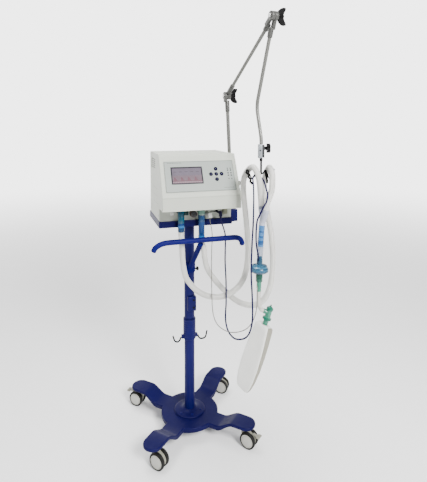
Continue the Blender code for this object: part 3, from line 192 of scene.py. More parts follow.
SCREEN_GLOW = look("screen_pink", (0.088, 0.060, 0.076), 0.30, vary=0.08, vary_scale=60, shine=0.2)
SCREEN_FOOT_PINK = look("screen_foot", (0.180, 0.120, 0.140), 0.30, vary=0.08, vary_scale=60, shine=0.2)
SCREEN_LINE = look("screen_line", (0.060, 0.040, 0.070), 0.35, vary=0.05)
TRACE = look("trace_red", (0.060, 0.008, 0.022), 0.35, vary=0.10, vary_scale=80)
KEY_NAVY = look("key_navy", (0.0010, 0.0008, 0.0090), 0.55, grain=(1800, 0.05), shine=0.03)
KEY_MARK = look("key_mark", (0.045, 0.042, 0.120), 0.45, vary=0.04)
DOT_DARK = look("lamp_dark", (0.003, 0.003, 0.004), 0.30, vary=0.05)
DOT_GREY = look("lamp_grey", (0.012, 0.012, 0.013), 0.30, vary=0.05)
BLACK = look("black_plastic", (0.0018, 0.0018, 0.0020), 0.45, vary=0.20, grain=(1200, 0.20), shine=0.12)
BLACK_WIRE = look("black_wire", (0.0010, 0.0010, 0.0045), 0.40, grain=(900, 0.10), shine=0.05)
# A near-black: painted shade behind the louvres and in the port slots, and the dark of the side guard.
DARK_AND_RECESS_SHADE = look("dark_and_recess_painted_shade", (0.020, 0.020, 0.020), 0.70, vary=0.10, shine=0.1)
CASTOR_SHELL = look("castor_grey", (0.230, 0.225, 0.180), 0.40, vary=0.05, vary_scale=40, grain=(1300, 0.18))
CAP = look("castor_cap", (0.380, 0.375, 0.340), 0.36, vary=0.04, vary_scale=60, grain=(1500, 0.10))
CAP_RING = look("castor_cap_ring", (0.240, 0.230, 0.190), 0.40, vary=0.05, vary_scale=60)
RUBBER = look("tyre_black", (0.0050, 0.0046, 0.0040), 0.62, vary=0.25, vary_scale=60, grain=(1600, 0.35),
              marks=0.05, shine=0.25)
TUBE = look("arm_tube", (0.150, 0.150, 0.138), 0.42, 0.40, vary=0.03, vary_scale=8, grain=(200, 0.0),
            shine=0.25)
FITTING = look("arm_fitting", (0.085, 0.085, 0.080), 0.42, 0.45, vary=0.10, vary_scale=50, grain=(900, 0.06),
               shine=0.25)
BRIGHT = look("bright_steel", (0.450, 0.450, 0.440), 0.22, 0.95, vary=0.08, vary_scale=90, grain=(1200, 0.08))
CLAMP = look("clamp_grey", (0.260, 0.280, 0.300), 0.38, 0.40, vary=0.08, vary_scale=70, grain=(1100, 0.22))
STEEL = look("steel", (0.400, 0.410, 0.420), 0.32, 0.9, vary=0.08, vary_scale=40, grain=(500, 0.20))
BOARD = look("board_green", (0.010, 0.110, 0.040), 0.50, vary=0.15, vary_scale=60)
DARK = look("dark_plastic", (0.018, 0.019, 0.020), 0.52, vary=0.10, grain=(1000, 0.20))
WHITE = look("white_plastic", (0.430, 0.430, 0.415), 0.30, vary=0.03, vary_scale=60, soft=0.10)
BROWN = look("valve_brown", (0.045, 0.030, 0.022), 0.38, vary=0.20, vary_scale=90)
CREAM = look("cream_plastic", (0.210, 0.215, 0.150), 0.42, vary=0.05, vary_scale=60)
TEAL = look("teal_clear", (0.0001, 0.040, 0.070), 0.22, vary=0.12, vary_scale=90, coat=0.1)
TEAL_DARK = look("teal_dark", (0.0002, 0.040, 0.036), 0.25, vary=0.15, vary_scale=90)
PALE_GREEN = look("pale_green_clear", (0.150, 0.280, 0.230), 0.18, vary=0.08, vary_scale=90, clear=0.30,
                  coat=0.2)
CUFF = look("cuff_blue", (0.0006, 0.024, 0.105), 0.25, vary=0.14, vary_scale=110, coat=0.2)
# A pale blue: a painted highlight ring at the left cuff's shoulder, and the lighter band of the right cuff's
# grip.
CUFF_PALE_AND_HIGHLIGHT = look("cuff_pale_blue_and_painted_highlight", (0.010, 0.090, 0.260), 0.22, vary=0.10, vary_scale=110, coat=0.2)
CUFF_DEEP = look("cuff_deep_blue", (0.0004, 0.024, 0.075), 0.25, vary=0.14, vary_scale=110, coat=0.2)
WYE_PALE = look("wye_pale", (0.045, 0.165, 0.380), 0.18, vary=0.08, vary_scale=90, clear=0.25, coat=0.3)
WYE_WHITE = look("wye_white", (0.430, 0.450, 0.540), 0.20, vary=0.05, vary_scale=90, clear=0.20, coat=0.2)
WYE_BLUE = look("wye_blue", (0.007, 0.060, 0.190), 0.20, vary=0.15, vary_scale=120, clear=0.10, coat=0.3)
WYE_CLEAR = look("wye_clear", (0.400, 0.440, 0.520), 0.14, vary=0.05, vary_scale=90, clear=0.50, coat=0.3)
FILTER_BLUE = look("filter_blue", (0.012, 0.055, 0.100), 0.20, vary=0.25, vary_scale=130, clear=0.10,
                   coat=0.3)
FILTER_PALE = look("filter_pale", (0.040, 0.160, 0.270), 0.16, vary=0.22, vary_scale=130, clear=0.25,
                   coat=0.3)
GREEN_DARK = look("connector_green", (0.0003, 0.055, 0.034), 0.25, vary=0.15, vary_scale=120, coat=0.2)
GREEN = look("elbow_green", (0.003, 0.110, 0.068), 0.20, vary=0.18, vary_scale=120, clear=0.10, coat=0.2)
GREEN_PALE = look("elbow_pale_green", (0.030, 0.200, 0.125), 0.18, vary=0.12, vary_scale=120, clear=0.20,
                  coat=0.3)
HOSE = look("hose_white", (0.560, 0.555, 0.525), 0.36, vary=0.04, vary_scale=14, grain=(700, 0.05), soft=0.20,
            clear=0.05, coat=0.1)
HOSE_CLEAR = look("hose_clear", (0.600, 0.590, 0.550), 0.25, vary=0.04, vary_scale=30, soft=0.15, clear=0.20)
LUNG = look("lung_white", (0.720, 0.720, 0.690), 0.48, vary=0.04, vary_scale=16, grain=(500, 0.12), soft=0.15)
# A darker copy of the lung white: painted shade on the bag's narrow flanks.
LUNG_FLANK_SHADE = look("lung_flank_painted_shade", (0.230, 0.220, 0.180), 0.52, vary=0.08, vary_scale=20, grain=(500, 0.15),
                 soft=0.10)
CABLE_SKIN = look("cable_purple", (0.0040, 0.0026, 0.032), 0.42, vary=0.12, vary_scale=30, grain=(1500, 0.08),
                  shine=0.10)
CABLE_DARK = look("plug_navy", (0.0025, 0.0022, 0.016), 0.45, vary=0.15, vary_scale=90, grain=(1200, 0.15),
                  shine=0.12)
SAMPLE_SKIN = look("sample_grey", (0.085, 0.082, 0.066), 0.28, vary=0.06, vary_scale=40, clear=0.05, coat=0.1)


# Building blocks

def facing(z_way, x_way=None):
    """The rotation that turns local +Z to z_way, and local +X as near to x_way as it can."""
    z_axis = Vector(z_way).normalized()
    guess = Vector(x_way) if x_way is not None else Vector((1, 0, 0))
    if abs(guess.normalized().dot(z_axis)) > 0.99:
        guess = Vector((0, 1, 0))
    x_axis = (guess - z_axis * guess.dot(z_axis)).normalized()
    return Matrix((x_axis, z_axis.cross(x_axis), z_axis)).transposed()


def toned(look_index, *points):
    """Profile points (radius, height) that all carry one look."""
    return [(radius, height, look_index) for radius, height in points]


def dial(radius, angle):
    """The point of a circle at an angle."""
    return radius * math.cos(angle), radius * math.sin(angle)


def join_rings(bm, low, high, look_index=0):
    """Faces between two rings of vertices; a ring of one vertex makes a cone's tip."""
    count = max(len(low), len(high))
    for i in range(count):
        j = (i + 1) % count
        corners = [low[i % len(low)], low[j % len(low)], high[j % len(high)], high[i % len(high)]]
        distinct = [v for k, v in enumerate(corners) if v not in corners[:k]]
        if len(distinct) > 2:
            bm.faces.new(distinct).material_index = look_index


def turned(profile, sides=40, bm=None, at=(0, 0, 0), turn=None):
    """A turned body from (radius, height) or (radius, height, look) points.

    A look holds for the band that starts at its point.
    """
    bm = bm or bmesh.new()
    before = set(bm.verts)
    rings = []
    for radius, height, *_ in profile:
        if radius == 0.0:
            rings.append([bm.verts.new((0, 0, height))])
            continue
        rings.append([bm.verts.new((*dial(radius, math.tau * i / sides), height)) for i in range(sides)])
    bands = [(low, high, p[2] if len(p) > 2 else 0) for low, high, p in zip(rings, rings[1:], profile)]
    if profile[0][0] != 0.0:
        bands.append((rings[-1], rings[0], profile[-1][2] if len(profile[-1]) > 2 else 0))
    for low, high, look_index in bands:
        join_rings(bm, low, high, look_index)
    return moved(bm, before, at, turn)


def moved(bm, before, at, turn):
    """Turns and moves the vertices that aren't among those there before."""
    offset = Vector(at)
    for vert in bm.verts:
        if vert not in before:
            vert.co = (turn @ vert.co if turn is not None else vert.co) + offset
    return bm


def rod(radius, low, high, edge=0.0005):
    """The profile of a plain rod with chamfered ends."""
    rim = [(radius - edge, low), (radius, low + edge), (radius, high - edge), (radius - edge, high)]
    return [(0.0, low), *rim, (0.0, high)]


def block(size, bevel=0.001, bm=None, at=(0, 0, 0), turn=None, look_index=0):
    """A rounded box about its centre."""
    bm = bm or bmesh.new()
    before, old_faces = set(bm.verts), set(bm.faces)
    made = bmesh.ops.create_cube(bm, size=1.0)["verts"]
    bmesh.ops.scale(bm, vec=size, verts=made)
    edges = {e for v in made for e in v.link_edges}
    bmesh.ops.bevel(bm, geom=list(edges), offset=bevel, segments=3, profile=0.5, affect="EDGES")
    for face in bm.faces:
        if face not in old_faces:
            face.material_index = look_index
    return moved(bm, before, at, turn)


def prism(outline, low, high, bm=None, at=(0, 0, 0), turn=None, look_index=0):
    """A flat (x, y) outline given thickness from low to high."""
    bm = bm or bmesh.new()
    before = set(bm.verts)
    foot = [bm.verts.new((x, y, low)) for x, y in outline]
    head = [bm.verts.new((x, y, high)) for x, y in outline]
    bm.faces.new(foot).material_index = look_index
    bm.faces.new(head).material_index = look_index
    join_rings(bm, foot, head, look_index)
    return moved(bm, before, at, turn)


def circle(radius, sides, centre=(0.0, 0.0), start=0.0, sweep=math.tau):
    """The points of a whole circle, or of an arc with a point at each end."""
    steps = sides if sweep == math.tau else sides - 1
    angles = [start + sweep * i / steps for i in range(sides)]
    return [(centre[0] + radius * math.cos(a), centre[1] + radius * math.sin(a)) for a in angles]


def smooth_route(points, step):
    """Evenly spaced points on a Catmull-Rom curve through the given points."""
    knots = [Vector(p) for p in points]
    knots = [2 * knots[0] - knots[1], *knots, 2 * knots[-1] - knots[-2]]
    fine = []
    for a, b, c, d in zip(knots, knots[1:], knots[2:], knots[3:]):
        for i in range(24):
            t = i / 24
            bend = a * (-t + 2 * t * t - t**3) + b * (2 - 5 * t * t + 3 * t**3)
            fine.append(0.5 * (bend + c * (t + 4 * t * t - 3 * t**3) + d * (t**3 - t * t)))
    fine.append(knots[-2])
    lengths = [0.0]
    for a, b in zip(fine, fine[1:]):
        lengths.append(lengths[-1] + (b - a).length)
    count = max(2, round(lengths[-1] / step))
    route, k = [], 0
    for i in range(count + 1):
        want = lengths[-1] * i / count
        while k < len(fine) - 2 and lengths[k + 1] < want:
            k += 1
        share = (want - lengths[k]) / max(lengths[k + 1] - lengths[k], 1e-9)
        route.append(fine[k].lerp(fine[k + 1], min(share, 1.0)))
    return route


def swept(route, section, side=None, scales=None, bm=None, looks=None):
    """A section (u, v) carried along a route without twist, with closed ends."""
    points = [Vector(p) for p in route]
    bm = bm or bmesh.new()
    rings, across = [], None
    for i, point in enumerate(points):
        along = (points[min(i + 1, len(points) - 1)] - points[max(i - 1, 0)]).normalized()
        if across is None:
            across = Vector(side) if side is not None else along.orthogonal()
        across = (across - along * across.dot(along)).normalized()
        up = along.cross(across)
        scale = scales[i] if scales else 1.0
        rings.append([bm.verts.new(point + (across * u + up * v) * scale) for u, v in section])
    looks = looks or [0] * len(rings)
    for low, high, look_index in zip(rings, rings[1:], looks):
        join_rings(bm, low, high, look_index)
    bm.faces.new(rings[0]).material_index = looks[0]
    bm.faces.new(rings[-1]).material_index = looks[-2]
    return bm


def bar(route, radius, sides=24, ends=0.0, bm=None):
    """A round bar along a route, its ends rounded over the length "ends"."""
    points = [Vector(p) for p in route]
    if not ends:
        return swept(points, circle(radius, sides), bm=bm)
    first = (points[0] - points[1]).normalized()
    last = (points[-1] - points[-2]).normalized()
    dome = [(1.0, 0.06), (0.93, 0.38), (0.78, 0.63), (0.5, 0.86), (0.0, 1.0)]
    head = [points[0] + first * ends * reach for reach, _ in dome]
    tail = [points[-1] + last * ends * reach for reach, _ in reversed(dome)]
    scales = [s for _, s in dome] + [1.0] * len(points) + [s for _, s in reversed(dome)]
    return swept([*head, *points, *tail], circle(radius, sides), scales=scales, bm=bm)


def piece(name, bm, looks, body, at=(0, 0, 0), turn=None, hides=(), sharp=35, soften=None):
    """A finished mesh piece in place, riding on a body and standing for the CAD nodes it hides."""
    bmesh.ops.remove_doubles(bm, verts=bm.verts, dist=1e-6)
    bmesh.ops.recalc_face_normals(bm, faces=bm.faces)
    mesh = bpy.data.meshes.new(name)
    bm.to_mesh(mesh)
    bm.free()
    mesh.shade_smooth()
    mesh.set_sharp_from_angle(angle=math.radians(sharp))
    for finish in looks if isinstance(looks, (list, tuple)) else [looks]:
        mesh.materials.append(finish)
    thing = bpy.data.objects.new(name, mesh)
    bpy.context.scene.collection.objects.link(thing)
    thing.location = Vector(at) + SHIFT
    if turn is not None:
        thing.rotation_euler = turn.to_euler()
    if soften:
        bevel = thing.modifiers.new("soft_edges", "BEVEL")
        bevel.width, bevel.segments = soften
        bevel.limit_method = "ANGLE"
        bevel.angle_limit = math.radians(40)
        bevel.harden_normals = True
    if isinstance(body, str):
        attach(thing, body)
    else:
        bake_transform(thing)
    if hides:
        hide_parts(*hides)
    return thing


# Camera and studio

def make_camera():
    level = Vector((math.sin(CAMERA_AZIMUTH), math.cos(CAMERA_AZIMUTH), 0))
    away = level * math.cos(CAMERA_PITCH) - Vector((0, 0, math.sin(CAMERA_PITCH)))
    data = bpy.data.cameras.new("camera")
    data.lens = LENS
    data.shift_y = LENS_SHIFT
    data.clip_end = 200
    camera = bpy.data.objects.new("camera", data)
    bpy.context.scene.collection.objects.link(camera)
    camera.location = CAMERA_AT + SHIFT
    camera.rotation_euler = away.to_track_quat("-Z", "Y").to_euler()
    bpy.context.scene.camera = camera


def make_light(name, at, aim, size, power):
    """A round soft light aimed at a point."""
    data = bpy.data.lights.new(name, "AREA")
    data.shape = "DISK"
    data.size = size
    data.energy = power
    light = bpy.data.objects.new(name, data)
    bpy.context.scene.collection.objects.link(light)
    light.location = at
    light.rotation_euler = (Vector(aim) - Vector(at)).to_track_quat("-Z", "Y").to_euler()


def eased(tree, source, start, end, low=0.0, high=1.0):
    """A node output that goes smoothly from low to high as the source goes from start to end."""
    node = tree.nodes.new("ShaderNodeMapRange")
    node.interpolation_type = "SMOOTHSTEP"
    for name, value in (("From Min", start), ("From Max", end), ("To Min", low), ("To Max", high)):
        node.inputs[name].default_value = value
    tree.links.new(source, node.inputs["Value"])
    return node.outputs["Result"]


def studio_glow(tree, direction):
    """A direction's parts, and the brightness there: dim in front, bright behind the machine."""
    parts = tree.nodes.new("ShaderNodeSeparateXYZ")
    tree.links.new(direction, parts.inputs["Vector"])
    return parts, eased(tree, parts.outputs["Y"], 0.05, 0.62, FRONT_GLOW, BACK_GLOW)


def make_room():
    """An even room: dim in front, a bright sweep behind, and an even glow from above."""
    world = bpy.data.worlds.new("studio")
    world.use_nodes = True
    tree = world.node_tree
    sky = tree.nodes["Background"]
    sky.inputs["Color"].default_value = (1.0, 1.0, 1.0, 1)
    places = tree.nodes.new("ShaderNodeTexCoord")
    parts, glow = studio_glow(tree, places.outputs["Generated"])
    blend = tree.nodes.new("ShaderNodeMix")
    blend.inputs[3].default_value = TOP_GLOW
    tree.links.new(eased(tree, parts.outputs["Z"], 0.26, 0.42), blend.inputs[0])
    tree.links.new(glow, blend.inputs[2])
    tree.links.new(blend.outputs[0], sky.inputs["Strength"])
    bpy.context.scene.world = world


def make_floor():
    """A pale floor that runs out into the room's glow."""
    finish = look("studio_floor", (0.90, 0.90, 0.90), 0.9, vary=0.004, grain=(40, 0.02), shine=0.1)
    tree = finish.node_tree
    places = tree.nodes.new("ShaderNodeTexCoord")
    away = tree.nodes.new("ShaderNodeVectorMath")
    away.operation = "NORMALIZE"
    tree.links.new(places.outputs["Object"], away.inputs[0])
    _, glow = studio_glow(tree, away.outputs["Vector"])
    reach = tree.nodes.new("ShaderNodeVectorMath")
    reach.operation = "LENGTH"
    tree.links.new(places.outputs["Object"], reach.inputs[0])
    shine = tree.nodes.new("ShaderNodeEmission")
    tree.links.new(glow, shine.inputs["Strength"])
    mixed = tree.nodes.new("ShaderNodeMixShader")
    tree.links.new(eased(tree, reach.outputs["Value"], 1.2, 9.0), mixed.inputs[0])
    tree.links.new(tree.nodes["Principled BSDF"].outputs["BSDF"], mixed.inputs[1])
    tree.links.new(shine.outputs["Emission"], mixed.inputs[2])
    tree.links.new(mixed.outputs["Shader"], tree.nodes["Material Output"].inputs["Surface"])
    bm = bmesh.new()
    bmesh.ops.create_circle(bm, cap_ends=True, segments=96, radius=60.0)
    mesh = bpy.data.meshes.new("floor")
    bm.to_mesh(mesh)
    bm.free()
    mesh.materials.append(finish)
    floor = bpy.data.objects.new("floor", mesh)
    floor.location.z = -0.0005
    bpy.context.scene.collection.objects.link(floor)


make_camera()
make_room()
make_floor()
make_light("key", (0.9, -3.6, 3.2), (0, 0, 0.9), 1.6, 420)
make_light("fill", (-3.2, -1.6, 2.0), (0, 0, 1.0), 2.2, 25)
make_light("top", (-0.4, 0.6, 4.4), (0, 0, 0.6), 2.4, 210)


# Hoses and cables

LEFT_HOSE = [(-0.0775, -0.172, 1.0357), (-0.0775, -0.172, 1.010), (-0.075, -0.176, 0.970),
             (-0.073, -0.181, 0.910), (-0.063, -0.193, 0.845), (-0.035, -0.209, 0.803),
             (-0.005, -0.230, 0.780), (0.033, -0.252, 0.769), (0.073, -0.274, 0.773), (0.111, -0.292, 0.792),
             (0.148, -0.304, 0.830), (0.170, -0.309, 0.885), (0.180, -0.308, 0.968), (0.178, -0.302, 1.054),
             (0.171, -0.296, 1.141), (0.166, -0.291, 1.205), (0.165, -0.2905, 1.262), (0.1725, -0.307, 1.303),
             (0.1845, -0.342, 1.3270), (0.1910, -0.377, 1.306), (0.1935, -0.394, 1.272),
             (0.195, -0.400, 1.236), (0.1970, -0.4037, 1.2020), (0.1970, -0.4062, 1.1777)]
RIGHT_HOSE = [(0.014, -0.172, 0.9947), (0.014, -0.172, 0.984), (0.0240, -0.174, 0.955),
              (0.0270, -0.178, 0.915), (0.037, -0.190, 0.866), (0.071, -0.209, 0.814), (0.109, -0.229, 0.772),
              (0.139, -0.246, 0.744), (0.171, -0.268, 0.728), (0.204, -0.295, 0.728), (0.232, -0.320, 0.746),
              (0.255, -0.336, 0.784), (0.271, -0.341, 0.840), (0.279, -0.340, 0.920), (0.278, -0.336, 0.990),
              (0.272, -0.331, 1.054), (0.262, -0.324, 1.124), (0.252, -0.316, 1.204),
              (0.2505, -0.3125, 1.262), (0.2525, -0.328, 1.300), (0.2505, -0.362, 1.3250),
              (0.2455, -0.399, 1.306), (0.239, -0.417, 1.274), (0.230, -0.430, 1.241),
              (0.2100, -0.4397, 1.2000), (0.2051, -0.4400, 1.1825), (0.2021, -0.4402, 1.1670)]
CABLE = [(0.096, -0.191, 1.0868), (0.0965, -0.191, 1.078), (0.107, -0.194, 1.050), (0.115, -0.196, 1.020),
         (0.116, -0.198, 0.987), (0.113, -0.205, 0.945), (0.107, -0.222, 0.900), (0.095, -0.270, 0.832),
         (0.080, -0.316, 0.764), (0.066, -0.350, 0.713), (0.064, -0.385, 0.681), (0.074, -0.427, 0.668),
         (0.091, -0.460, 0.676), (0.109, -0.480, 0.694), (0.121, -0.489, 0.727), (0.127, -0.490, 0.772),
         (0.127, -0.486, 0.848), (0.125, -0.482, 0.912), (0.126, -0.477, 0.957), (0.131, -0.468, 1.004),
         (0.138, -0.457, 1.058), (0.150, -0.437, 1.123), (0.163, -0.409, 1.203), (0.170, -0.389, 1.255),
         (0.173, -0.374, 1.284), (0.180, -0.3650, 1.2905), (0.196, -0.3635, 1.2915), (0.209, -0.367, 1.287),
         (0.2155, -0.378, 1.279), (0.2150, -0.398, 1.265), (0.2105, -0.424, 1.246), (0.2060, -0.4460, 1.226),
         (0.1960, -0.4590, 1.204), (0.1830, -0.4640, 1.187), (0.1640, -0.4620, 1.150),
         (0.1560, -0.4600, 1.128), (0.1520, -0.4610, 1.080), (0.1540, -0.4610, 1.036),
         (0.1620, -0.4560, 1.004), (0.1700, -0.4420, 0.978), (0.1727, -0.4332, 0.9665)]
SAMPLE = [(0.050, -0.1815, 1.0915), (0.050, -0.182, 1.078), (0.054, -0.186, 1.055), (0.058, -0.189, 1.013),
          (0.053, -0.197, 0.943), (0.045, -0.222, 0.868), (0.034, -0.262, 0.797), (0.026, -0.298, 0.740),
          (0.026, -0.330, 0.706), (0.036, -0.364, 0.689), (0.058, -0.400, 0.683), (0.085, -0.429, 0.690),
          (0.116, -0.449, 0.707), (0.140, -0.455, 0.734), (0.154, -0.457, 0.770), (0.160, -0.455, 0.805),
          (0.163, -0.449, 0.835), (0.1655, -0.4425, 0.856), (0.1690, -0.4345, 0.868)]
CORRUGATION, RIPPLE = 0.004, 0.0010
CHAIN = ["root", "arm_post", "arm_link", "arm_drop", "hanger"]


def cord_ring(radius, ripple, distance):
    """The outer radius of a hose at a distance along it: a row of rounded corrugations."""
    return radius - ripple * (0.5 - 0.5 * math.cos(math.tau * distance / CORRUGATION)) ** 1.5


def make_cord(name, knots, radius, cuts, finish, sides, ripple=0.0, step=0.001):
    """One free hose or cable in serial pieces: the last rides on the hanger, and the others are fixed where
    they are made.
    cuts are the distances along it where one piece ends and the next begins.
    """
    route = smooth_route(knots, step)
    length = sum((b - a).length for a, b in zip(route, route[1:]))
    each = length / (len(route) - 1)
    rings, across = [], None
    for i, point in enumerate(route):
        along = (route[min(i + 1, len(route) - 1)] - route[max(i - 1, 0)]).normalized()
        across = along.orthogonal() if across is None else across
        across = (across - along * across.dot(along)).normalized()
        size = cord_ring(radius, ripple, i * each)
        up = along.cross(across)
        rings.append([point + (across * u + up * v) * size for u, v in circle(1.0, sides)])
    stops = [0, *[round(c / each) for c in cuts], len(route) - 1]
    for k, (first, last) in enumerate(zip(stops, stops[1:])):
        bm = bmesh.new()
        made = [[bm.verts.new(p) for p in ring] for ring in rings[first:last + 1]]
        for low, high in zip(made, made[1:]):
            join_rings(bm, low, high)
        bm.faces.new(made[0])
        bm.faces.new(made[-1])
        start, end = route[first] + SHIFT, route[last] + SHIFT
        if k + 1 < len(CHAIN):
            inset = (end - start).normalized() * radius
            body = (CHAIN[k], CHAIN[k + 1], start + inset, end - inset)
        else:
            body = CHAIN[-1]
        part = piece(f"{name}_{k + 1}", bm, finish, body, hides=[name] if k == 0 else ())
        path = [route[i] + SHIFT for i in range(first, last + 1, 3)]
        if path[-1] != end:
            path.append(end)


def make_cords():
    make_cord("hose_left", LEFT_HOSE, HOSE_RADIUS, (0.28, 0.52, 0.74, 0.93), HOSE, 28, RIPPLE)
    make_cord("hose_right", RIGHT_HOSE, HOSE_RADIUS, (0.28, 0.54, 0.76, 0.96), HOSE, 28, RIPPLE)
    make_cord("sensor_cable", CABLE, CABLE_RADIUS, (0.42, 0.72, 0.94, 1.17), CABLE_SKIN, 14,
              step=0.003)
    make_cord("sample_line", SAMPLE, SAMPLE_RADIUS, (0.22, 0.38, 0.52, 0.64), SAMPLE_SKIN, 10,
              step=0.003)


make_cords()


# Base, column and castors

def star_outline():
    """The base from above: a round hub with four round-ended arms."""
    root = math.asin(ARM_HALF_WIDTH / HUB_RADIUS)
    outline = []
    for quarter in range(4):
        way = math.radians(45 + 90 * quarter)
        turn = Matrix.Rotation(way, 2)
        tip = circle(ARM_HALF_WIDTH, 25, (ARM_REACH, 0.0), -math.pi / 2, math.pi)
        outline += [tuple(turn @ Vector(p)) for p in tip]
        outline += circle(HUB_RADIUS, 19, start=way + root, sweep=math.pi / 2 - 2 * root)
    return outline


def make_base():
    """The star, cut across each arm so that its ramp up to the castors can bend smoothly."""
    bm = prism(star_outline(), HUB_BOTTOM, HUB_TOP)
    for quarter in range(4):
        way = math.radians(45 + 90 * quarter)
        normal = Vector((math.cos(way), math.sin(way), 0))
        for step in range(13):
            spot = RAMP_START + (RAMP_END - RAMP_START) * step / 12
            geometry = bm.verts[:] + bm.edges[:] + bm.faces[:]
            bmesh.ops.bisect_plane(bm, geom=geometry, plane_co=normal * spot, plane_no=normal)
    middle = (HUB_TOP + HUB_BOTTOM) / 2
    for vert in bm.verts:
        reach = max(abs(vert.co.x + vert.co.y), abs(vert.co.x - vert.co.y)) / math.sqrt(2)
        share = min(max((reach - RAMP_START) / (RAMP_END - RAMP_START), 0.0), 1.0)
        share = 0.35 * share + 0.65 * share * share * (3 - 2 * share)
        rise = ARM_TOP - HUB_TOP if vert.co.z > middle else ARM_BOTTOM - HUB_BOTTOM
        vert.co.z += share * rise
    piece("base_star_cast", bm, CAST, "root", hides=["base_star"], sharp=60,
          soften=(0.0042, 4))


def make_column():
    bore = COLUMN_RADIUS + GAP
    foot = HUB_TOP + GAP
    edge = 0.0735
    crown = [(edge, 0.0030), (edge - 0.0006, 0.0048), (edge - 0.0020, 0.0062), (edge - 0.0045, 0.0070),
             (0.062, 0.0074), (0.050, 0.0084), (0.041, 0.0100), (0.035, 0.0122), (0.0315, 0.0146),
             (0.0300, 0.0155)]
    profile = [(bore, foot), (edge, foot), *[(r, foot + h) for r, h in crown], (bore, foot + 0.0155)]
    piece("column_flange_turned", turned(profile, 72), CAST, "root", hides=["column_flange"],
          sharp=50)
    low, high = foot, TRAY_BOTTOM - GAP
    profile = [(COLUMN_RADIUS, low), (COLUMN_RADIUS, 0.46), (COLUMN_RADIUS, 0.80), (COLUMN_RADIUS, high),
               (COLUMN_RADIUS - 0.0025, high), (COLUMN_RADIUS - 0.0025, low)]
    piece("column_tube", turned(profile, 64), PAINT, "root", hides=["column"], sharp=50)
    bm = turned(rod(0.0065, 0.0, 0.0035, edge=0.0008), 24, at=(0, -0.0545, foot + 0.0068))
    for angle in (90, 210, 330):
        at = (*dial(0.0545, math.radians(angle)), foot + 0.0070)
        turned(rod(0.0052, 0.0, 0.0028, edge=0.0007), 24, bm, at)
    piece("flange_screws", bm, PAINT, "root")


def make_hook_collar():
    bore, low, high = COLUMN_RADIUS + GAP, COLLAR_BOTTOM, COLLAR_TOP
    profile = [(bore, low), (0.0288, low), (0.0298, low + 0.0012)]
    for i in range(1, 9):
        z = low + (high - low) * i / 9
        profile += [(0.0300, z - 0.0022), (0.0293, z - 0.0007), (0.0293, z + 0.0007), (0.0300, z + 0.0022)]
    profile += [(0.0298, high - 0.0012), (0.0288, high), (bore, high)]
    bm = turned(profile, 64)
    for side in (-1, 1):
        block((0.014, 0.012, 0.018), 0.0018, bm, (side * 0.0325, 0, HOOK_BLOCK_Z))
        turned(rod(0.0040, 0.0, 0.0022, edge=0.0006), 20, bm, (side * 0.0325, -0.0060, HOOK_BLOCK_Z),
               facing((0, -1, 0)))
    piece("hook_collar_turned", bm, PAINT, "root", hides=["hook_collar"])
    left = [(-0.0428, 0.479), (-0.047, 0.468), (-0.058, 0.459), (-0.072, 0.466), (-0.081, 0.490)]
    right = [(0.0428, 0.479), (0.047, 0.467), (0.059, 0.459), (0.079, 0.464), (0.088, 0.494)]
    for name, points in (("hook_left", left), ("hook_right", right)):
        route = smooth_route([(x, 0, z) for x, z in points], 0.0025)
        piece(f"{name}_wire", bar(route, 0.0036, 20, 0.002), BLACK_WIRE, "root", hides=[name])


def make_accessory_clamp():
    bm = block((0.041, 0.032, 0.070), 0.0030, at=(0.0055, -0.018, 0.650))
    block((0.034, 0.003, 0.060), 0.0012, bm, (0.0055, -0.0335, 0.650))
    screw = toned(1, (0.0, 0.0), (0.0046, 0.0), (0.0046, 0.0016), (0.0038, 0.0024), (0.0022, 0.0024),
                  (0.0018, 0.0008), (0.0, 0.0008))
    for z in (0.632, 0.668):
        turned(screw, 24, bm, (0.0135, -0.0347, z), facing((0, -1, 0)))
    piece("accessory_clamp_block", bm, [PAINT, BLACK], "root", hides=["accessory_clamp"])


def make_handle():
    left = [(-0.205, 0.975), (-0.197, 0.988), (-0.177, 1.000), (-0.155, 1.005), (-0.134, HANDLE_Z)]
    right = [(0.138, HANDLE_Z), (0.158, 1.005), (0.174, 1.000), (0.184, 0.989), (0.188, 0.974)]
    route = [p for half in (left, right) for p in smooth_route([(x, HANDLE_Y, z) for x, z in half], 0.005)]
    bm = bar(route, HANDLE_RADIUS, 36, 0.006)
    for low, high in ((-0.012, -0.0085), (0.0065, 0.010)):
        weld = [(HANDLE_RADIUS, low), (0.0122, low + 0.0008), (0.0122, high - 0.0008), (HANDLE_RADIUS, high),
                (0.010, high), (0.010, low)]
        turned(weld, 36, bm, (0, HANDLE_Y, HANDLE_Z), facing((1, 0, 0)))
    piece("handle_bar_tube", bm, HANDLE_PAINT, "root", hides=["handle_bar"])


def make_brace():
    bore = COLUMN_RADIUS + GAP
    profile = [(bore, 0.798), (0.0272, 0.798), (0.0280, 0.7986), (0.0285, 0.8000), (0.0285, 0.846),
               (0.0280, 0.8474), (0.0272, 0.848), (bore, 0.848)]
    bm = turned(profile, 64)
    foot, head = Vector((0, -0.026, 0.8307)), Vector((-0.0018, -0.2140, 0.9875))
    way = (head - foot).normalized()
    long = (head - foot).length
    turned([(0.0, 0.0), (0.0130, 0.0), (0.0130, 0.003), (0.0116, 0.006), (0.0116, long), (0.0, long)], 36, bm,
           foot, facing(way))
    screw_way = Vector((-math.sin(0.9), -math.cos(0.9), 0))
    for z in (0.806, 0.840):
        turned(rod(0.0038, 0.0, 0.0025, edge=0.0007), 20, bm, screw_way * 0.0283 + Vector((0, 0, z)),
               facing(screw_way))
    knob = toned(1, (0.0, 0.0), (0.0035, 0.0), (0.0035, 0.008), (0.0086, 0.0086), (0.0098, 0.0105),
                 (0.0098, 0.0150), (0.0090, 0.0180), (0.0060, 0.0190), (0.0, 0.0190))
    turned(knob, 32, bm, (0.0268, 0.0, 0.808), facing((1, 0, 0)))
    piece("handle_brace_tube", bm, [BRACE_PAINT, BLACK], "root", hides=["handle_brace"])


